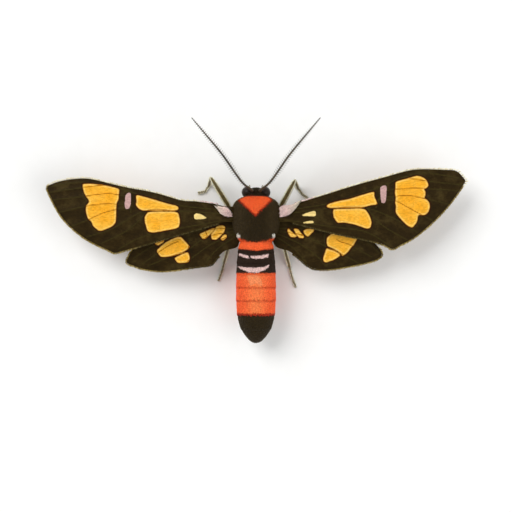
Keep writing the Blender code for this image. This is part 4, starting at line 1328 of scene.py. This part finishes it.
# %% Joints of the legs
FOOT_UP = 0.17
# For each leg: where the coxa leaves the body, then trochanter, knee, ankle, mid foot, toe.
LEGS = {
    ("front", "left"): ((1.20, 0.05, 2.45), (2.82, -0.15, 1.50), (5.18, 3.72, 3.35),
                        (5.45, 2.95, FOOT_UP), (5.96, 2.20, FOOT_UP), (6.70, 2.06, FOOT_UP)),
    ("front", "right"): ((1.20, 0.05, 2.45), (2.60, -0.11, 1.50), (4.47, 3.42, 3.35),
                         (4.85, 2.60, FOOT_UP), (5.45, 1.85, FOOT_UP), (5.95, 1.48, FOOT_UP)),
    ("middle", "left"): ((1.25, -1.50, 2.25), (2.25, -2.05, 1.30), (5.40, -1.90, 3.30),
                         (6.80, -2.20, FOOT_UP), (7.90, -2.40, FOOT_UP), (8.80, -2.45, FOOT_UP)),
    ("middle", "right"): ((1.25, -1.50, 2.25), (2.25, -2.05, 1.30), (5.40, -1.80, 3.30),
                          (6.80, -2.00, FOOT_UP), (7.90, -2.15, FOOT_UP), (8.80, -2.20, FOOT_UP)),
    ("hind", "left"): ((1.10, -2.70, 2.35), (1.98, -3.30, 1.25), (3.05, -3.75, 3.10),
                       (3.72, -6.10, FOOT_UP), (4.00, -7.20, FOOT_UP), (4.36, -8.18, FOOT_UP)),
    ("hind", "right"): ((1.10, -2.70, 2.35), (1.98, -3.30, 1.25), (3.15, -3.85, 3.10),
                        (3.90, -6.60, FOOT_UP), (4.20, -7.80, FOOT_UP), (4.60, -8.94, FOOT_UP)),
}
# Share of a segment's length, and radius in mm.
COXA = ((0.0, 0.26), (0.5, 0.28), (0.92, 0.22), (1.0, 0.10))
FEMUR = ((0.0, 0.10), (0.04, 0.22), (0.30, 0.32), (0.70, 0.29), (0.96, 0.20), (1.0, 0.08))
TIBIA = ((0.0, 0.08), (0.04, 0.16), (0.45, 0.20), (0.93, 0.21), (1.0, 0.10))
TARSUS = ((0.0, 0.07), (0.10, 0.10), (0.85, 0.13), (1.0, 0.08))
KNEE_PULL = 0.16


def on_side(points, side):
    """Places in the scene of points given for the left, mirrored if side is minus one."""
    out, ahead, up = np.array(points, float).T
    return spot(side * out, ahead, up)


def rod(start, end, profile, sides=14, rings=12):
    """A straight tapered tube between two points, as a grid of rings."""
    start, end = np.asarray(start, float), np.asarray(end, float)
    along = unit(end - start)
    across = unit(np.cross(along, [0.0, 0.0, 1.0] if abs(along[2]) < 0.9 else [0.0, 1.0, 0.0]))
    upward = np.cross(across, along)
    share = np.unique(np.concatenate([np.linspace(0, 1, rings), [p[0] for p in profile]]))
    radius = np.interp(share, *zip(*profile))[:, None, None]
    angle = np.linspace(2 * math.pi, 0, sides, endpoint=False)[None, :, None]
    centre = start + (end - start) * share[:, None, None]
    return centre + radius * (np.cos(angle) * across + np.sin(angle) * upward)


def rod_mesh(grid):
    """Corners and faces of a tube given as a grid of rings."""
    return grid.reshape(-1, 3), tube_faces(*grid.shape[:2])


def leg_segments(place, word):
    """The straight segments of a leg, as start, end and profile."""
    hip, trochanter, knee, ankle, middle, toe = on_side(LEGS[place, word], SIDES[word])
    knee = knee + KNEE_PULL * unit(unit(trochanter - knee) + unit(ankle - knee))
    foot = [ankle + (middle - ankle) * share for share in (0.0, 0.62)] + [middle]
    foot += [middle + (toe - middle) * share for share in (0.34, 0.67, 1.0)]
    segments = [(hip, trochanter, COXA), (trochanter, knee, FEMUR), (knee, ankle, TIBIA)]
    return segments + [(a, b, TARSUS) for a, b in zip(foot, foot[1:])]


print("segments in a leg:", len(leg_segments("front", "left")))

# %% [markdown]
# **Cuticle of the legs.** Bare leg skin is horn: hard, brown and slightly glossy. Most of it
# is under small scales, olive brown on the faces of a leg, cream along its two edges.

# %% Finish: leg horn
BLOTCH = 0.5


def horn_finish(name, light, dark, roughness):
    """Bare cuticle, blotched from dark to light."""
    material, tree, shader, place = new_finish(name, roughness, CHITIN_IOR)
    blotch = add_node(tree, "TexNoise", {}, {"Vector": place, "Scale": 1 / (BLOTCH * MM),
                                             "Detail": 3.0})
    tone = add_node(tree, "ValToRGB", {}, {"Fac": blotch.outputs["Fac"]},
                    ((0.35, dark), (0.65, light)))
    tree.links.new(tone.outputs["Color"], shader.inputs["Base Color"])
    bump = add_node(tree, "Bump", {}, {"Height": blotch.outputs["Fac"], "Strength": 0.25,
                                       "Distance": 0.03 * MM})
    tree.links.new(bump.outputs["Normal"], shader.inputs["Normal"])
    return material


leg_horn = horn_finish("leg horn", "#7A6636", "#4A3B1A", 0.42)
tongue_horn = horn_finish("tongue horn", "#8A5A28", "#4E2F12", 0.35)
print("horn finishes:", leg_horn.name, "and", tongue_horn.name)

# %% [markdown]
# **Spurs, claws and scales.** The middle legs have one pair of spurs on the tibia and the
# hind legs two. Every foot ends in two bent claws. The scales lie along each segment, and the
# cream ones stand off a little, as a fringe.

# %% Legs with spurs and claws
SPUR = ((0.0, 0.05), (0.6, 0.035), (1.0, 0.005))
CLAW = ((0.0, 0.045), (0.5, 0.03), (1.0, 0.004))
SPURS = {"front": 0, "middle": 1, "hind": 2}
# A spur's length down the leg and across it, the first pair's place, and the step to the next.
SPUR_DOWN, SPUR_ACROSS, SPUR_START, SPUR_STEP = 0.40, 0.20, 0.10, 0.95
SPUR_CLEAR = 0.03
# A claw goes ahead and sideways on its stalk, then bends down by its hook.
CLAW_STALK = ((0.0, 0.05), (1.0, 0.035))
CLAW_AHEAD, CLAW_ASIDE, CLAW_HOOK = 0.10, 0.07, 0.13
LEG_SCALE_STEP = 0.064


def leg_extras(place, word, segments):
    """Spurs on the tibia and claws on the last foot segment."""
    tibia_start, tibia_end = segments[2][:2]
    down = unit(tibia_end - tibia_start)
    across = unit(np.cross(down, [0.0, 0.0, 1.0]))
    rods = []
    for row in range(SPURS[place]):
        base = tibia_end - down * (SPUR_START + SPUR_STEP * row)
        for way in (-1, 1):
            tip = base + down * SPUR_DOWN + across * way * SPUR_ACROSS
            tip[2] = max(tip[2], SPUR_CLEAR)
            rods.append(rod(base, tip, SPUR, 6, 5))
    ahead = unit(segments[-1][1] - segments[-1][0])
    sideways = unit(np.cross(ahead, [0.0, 0.0, 1.0]))
    toe = segments[-1][1] - ahead * 0.03
    for way in (-1, 1):
        bend = toe + ahead * CLAW_AHEAD + sideways * way * CLAW_ASIDE
        tip = bend + ahead * 0.05 + sideways * way * 0.02 - np.array([0, 0, CLAW_HOOK])
        rods += [rod(toe, bend, CLAW_STALK, 6, 3), rod(bend, tip, CLAW, 6, 4)]
    return rods


def leg_coat(place, word, segments, seed):
    """Scales on every segment of a leg, with cream ones along its two edges."""
    lots = []
    for k, (start, end, profile) in enumerate(segments):
        grid = rod(start, end, profile, 16, 14)
        places, normals, marks = scatter(grid, LEG_SCALE_STEP, seed + k)
        along = unit(end - start)
        outside = np.abs(normals @ unit(np.cross(along, [0.0, 0.0, 1.0])))
        marks[:, 1] = (k + marks[:, 1]) / len(segments)
        lie = np.tile(along, (len(places), 1))
        # Cream from the side faces some way up, so that it shows from above, but not below.
        cream = step_in(outside - 0.62, 0.16) * step_in(normals[:, 2] + 0.30, 0.3) * (k > 0)
        if k > 2:
            cream = np.maximum(cream, 0.35)
        lots.append((places, normals, marks, lie, cream))
    places, normals, marks, lie, cream = (np.concatenate(lot) for lot in zip(*lots))
    edge = cream > 0.5
    cream = cream[:, None]
    paint = linear("#665A30") * (1 - cream) + linear("#FFF6D8") * cream
    for name, some, length, lift in (("coat", ~edge, 0.17, 0.16), ("fringe", edge, 0.21, 0.34)):
        roots = (places[some], normals[some], marks[some])
        blades(f"{name}_leg_{place}_{word}", roots, lie[some], length, 0.070, lift, paint[some],
               chitin_scales, "leg_cuticle", seed, shape=SCALE, stray=0.10, fade=(0.9, 1.15))


for seed, (place, word) in enumerate(LEGS):
    segments = leg_segments(place, word)
    grids = [rod(*segment) for segment in segments] + leg_extras(place, word, segments)
    leg = make_piece(f"jointed_leg_{place}_{word}", *joined(rod_mesh(grid) for grid in grids),
                     leg_horn, "leg_cuticle")
    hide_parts(f"leg_{place}_{word}")
    leg_coat(place, word, segments, 100 + 10 * seed)

# %% [markdown]
# ## Feelers
#
# The feelers are comb-like: a shaft of some forty ring segments, each with a pair of thin
# teeth that carry the organs of smell. The teeth are longest a third of the way out and
# shrink to nothing at the tip.

# %% Feelers
FEELER_COURSE = ((0.47, 2.06, 4.95), (0.62, 2.22, 5.55), (1.70, 3.10, 6.75), (3.70, 5.90, 7.60),
                 (5.60, 8.20, 7.80), (7.20, 10.12, 7.50))
FEELER_SEGMENTS = 44
SHAFT_RADIUS = ((0.0, 0.19), (0.05, 0.17), (0.07, 0.12), (0.6, 0.10), (1.0, 0.045))
TOOTH_LENGTH = ((0.0, 0.0), (0.08, 0.16), (0.35, 0.42), (0.75, 0.30), (1.0, 0.08))
TOOTH = ((0.0, 0.045), (0.5, 0.035), (1.0, 0.012))


def swept(path, radius, sides, across=None):
    """A tube round a smooth path with a radius at each of its points, as rings."""
    along = unit(np.gradient(path, axis=0))
    if across is None:
        across = unit(np.cross(along, [0.0, 0.0, 1.0]))
    upward = np.cross(across, along)
    angle = np.linspace(2 * math.pi, 0, sides, endpoint=False)[None, :, None]
    ring = np.cos(angle) * across[:, None] + np.sin(angle) * upward[:, None]
    return path[:, None] + np.asarray(radius)[:, None, None] * ring, across, along


def feeler(word):
    """One feeler: its ringed shaft, and a pair of teeth on each segment."""
    line = smooth(on_side(FEELER_COURSE, SIDES[word]), 16)
    line = spaced(line, walked(line)[-1] / (FEELER_SEGMENTS * 3))
    share = np.linspace(0, 1, len(line))
    # Each segment is narrow at its start and flares to its end.
    flare = 1 + 0.22 * ((np.arange(len(line)) % 3) / 2 - 0.5)
    shaft, across, along = swept(line, np.interp(share, *zip(*SHAFT_RADIUS)) * flare, 10)
    grids = [shaft]
    for k in range(4, len(line) - 2, 3):
        length = np.interp(share[k], *zip(*TOOTH_LENGTH))
        for way in (-1, 1):
            tip = line[k] + way * across[k] * length + along[k] * length * 0.35
            tip = tip - np.array([0, 0, 0.10 * length])
            grids.append(rod(line[k], tip, TOOTH, 5, 3))
    piece = make_piece(f"feeler_{word}", *joined(rod_mesh(grid) for grid in grids),
                       feeler_scales, "dark_scales")
    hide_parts(f"antenna_{word}")


feeler_scales = horn_finish("scaled horn", "#4A3C20", "#241A0C", 0.6)
for word in SIDES:
    feeler(word)

# %% [markdown]
# ## Mouth
#
# Under the face hang two palps, short feelers of three segments brushed with scales.

# %% Palps
PALP_COURSE = ((0.58, 1.62, 2.95), (0.62, 1.72, 2.45), (0.66, 1.88, 2.12), (0.72, 2.32, 2.00),
               (0.74, 2.72, 2.20))
PALP_RADIUS = ((0.0, 0.12), (0.30, 0.17), (0.36, 0.13), (0.65, 0.18), (0.72, 0.12), (1.0, 0.05))

for word, side in SIDES.items():
    line = spaced(smooth(on_side(PALP_COURSE, side), 8), 0.06)
    share = np.linspace(0, 1, len(line))
    grid, across, along = swept(line, np.interp(share, *zip(*PALP_RADIUS)), 14)
    palp = make_piece(f"brush_palp_{word}", *rod_mesh(grid), feeler_scales, "dark_scales")
    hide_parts(f"palp_{word}")
    places, normals, marks = scatter(grid, 0.07, 71 + side)
    nearest = np.abs(places[:, None] - line[None]).sum(-1).argmin(1)
    paint = np.where((normals[:, 2] < -0.2)[:, None], linear("#CDBF93"), linear("#3B3018"))
    blades(f"coat_palp_{word}", (places, normals, marks), along[nearest], 0.20, 0.08, 0.25,
           paint, chitin_hair, "dark_scales", 75 + side)
print("palp:", len(palp.data.polygons), "faces")

# %% [markdown]
# **Tongue.** Between the palps is the tongue, two grooved half tubes zipped together and
# coiled like a watch spring when it isn't in use.

# %% Tongue
TONGUE_MIDDLE = (2.00, 1.86)
TONGUE_RADII = (0.50, 0.10)
TONGUE_TURNS = 2.3
# The tongue leaves the face here, ahead and up, and its coil starts at this angle in degrees.
TONGUE_ROOT, COIL_START = (1.95, 2.95), 75
TONGUE_THICK = ((0.0, 0.12), (0.2, 0.10), (1.0, 0.045))


def tongue():
    """The coiled tongue, a ribbed tube that tapers to its inner end."""
    turned = np.linspace(0, TONGUE_TURNS, 110)
    radius = TONGUE_RADII[0] + (TONGUE_RADII[1] - TONGUE_RADII[0]) * turned / TONGUE_TURNS
    angle = math.radians(COIL_START) - 2 * math.pi * turned
    coil = spot(0 * turned, TONGUE_MIDDLE[0] + radius * np.cos(angle),
                TONGUE_MIDDLE[1] + radius * np.sin(angle))
    root = spot(0.0, *TONGUE_ROOT)
    line = spaced(np.concatenate([[root, (root + coil[0]) / 2], coil]), 0.07)
    share = np.linspace(0, 1, len(line))
    thick = np.interp(share, *zip(*TONGUE_THICK)) * (1 + 0.06 * (np.arange(len(line)) % 2))
    grid = swept(line, thick, 12, np.tile([1.0, 0.0, 0.0], (len(line), 1)))[0]
    piece = make_piece("tongue", *rod_mesh(grid), tongue_horn, "leg_cuticle")
    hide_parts("proboscis")


tongue()

# %% [markdown]
# ## Stage, camera and light
#
# The moth stands on a plain pale floor, which is much larger than the camera sees.

# %% Floor
FLOOR_SIZE = 4.0
BOARD_GRAIN = 2.0


def pale_floor():
    """A square of board that is only there to be stood on."""
    material, tree, shader, place = new_finish("matt white board", 0.9, 1.5)
    grain = add_node(tree, "TexNoise", {}, {"Vector": place, "Scale": 1 / (BOARD_GRAIN * MM)})
    tone = add_node(tree, "ValToRGB", {}, {"Fac": grain.outputs["Fac"]},
                    ((0.0, "#F7F7F5"), (1.0, "#FBFBFA")))
    tree.links.new(tone.outputs["Color"], shader.inputs["Base Color"])
    mesh = bpy.data.meshes.new("floor")
    half = FLOOR_SIZE / 2
    mesh.from_pydata([(-half, -half, 0), (half, -half, 0), (half, half, 0), (-half, half, 0)],
                     [], [(0, 1, 2, 3)])
    mesh.materials.append(material)
    floor = bpy.data.objects.new("floor", mesh)
    bpy.context.collection.objects.link(floor)


pale_floor()
print("floor, m:", FLOOR_SIZE)

# %% [markdown]
# **Camera.** It looks straight down, as the picture does, with a long lens, so that nothing
# bulges towards it. Its frame is set in real millimetres.

# %% Camera
FRAME_WIDTH = 58.52
FRAME_MIDDLE_AHEAD = -5.35
WING_LEVEL = 4.0
LENS, SENSOR = 100.0, 36.0

camera_data = bpy.data.cameras.new("camera")
camera_data.lens = LENS
camera_data.sensor_width = SENSOR
camera_data.clip_start = 0.01
camera = bpy.data.objects.new("camera", camera_data)
height = FRAME_WIDTH * LENS / SENSOR + WING_LEVEL
camera.location = (0.0, (SHOULDER_Y - FRAME_MIDDLE_AHEAD) * MM, height * MM)
camera.rotation_euler = (0.0, 0.0, math.pi)
bpy.context.collection.objects.link(camera)
bpy.context.scene.camera = camera
print("camera height, mm:", round(height, 1))

# %% [markdown]
# **Light.** A large soft panel hangs high on one side and a weaker one opposite, under a soft
# sky. The sky is brightest near the horizon and dim overhead, where the camera is. Light
# that comes straight down the lens's way would lie as a grey veil on dark scales. The plain
# sRGB view shows each colour as its hex value says.

# %% Lights
KEY_POWER, FILL_POWER = 12.6, 6.7
SKY_RIM, SKY_TOP = 0.92, 0.33


def add_panel(name, place, size, power):
    """A soft light panel that faces the moth."""
    light = bpy.data.lights.new(name, "AREA")
    light.size = size
    light.energy = power
    panel = bpy.data.objects.new(name, light)
    panel.location = place
    panel.rotation_euler = (-Vector(place)).to_track_quat("-Z", "Y").to_euler()
    bpy.context.collection.objects.link(panel)


add_panel("key_panel", (0.72, -0.66, 1.08), 0.90, KEY_POWER)
add_panel("fill_panel", (-0.96, 0.42, 0.90), 1.20, FILL_POWER)
world = bpy.data.worlds.new("sky")
world.use_nodes = True
sky = world.node_tree
direction = add_node(sky, "TexCoord", {}, {})
height_up = add_node(sky, "SeparateXYZ", {}, {"Vector": direction.outputs["Generated"]})
brightness = add_node(sky, "MapRange", {}, {"Value": height_up.outputs["Z"],
                                            "To Min": SKY_RIM, "To Max": SKY_TOP})
sky.links.new(brightness.outputs["Result"], sky.nodes["Background"].inputs["Strength"])
sky.nodes["Background"].inputs["Color"].default_value = (1.0, 1.0, 1.0, 1.0)
bpy.context.scene.world = world
bpy.context.scene.view_settings.view_transform = "Standard"
print("light panels:", KEY_POWER, "and", FILL_POWER, "watts")
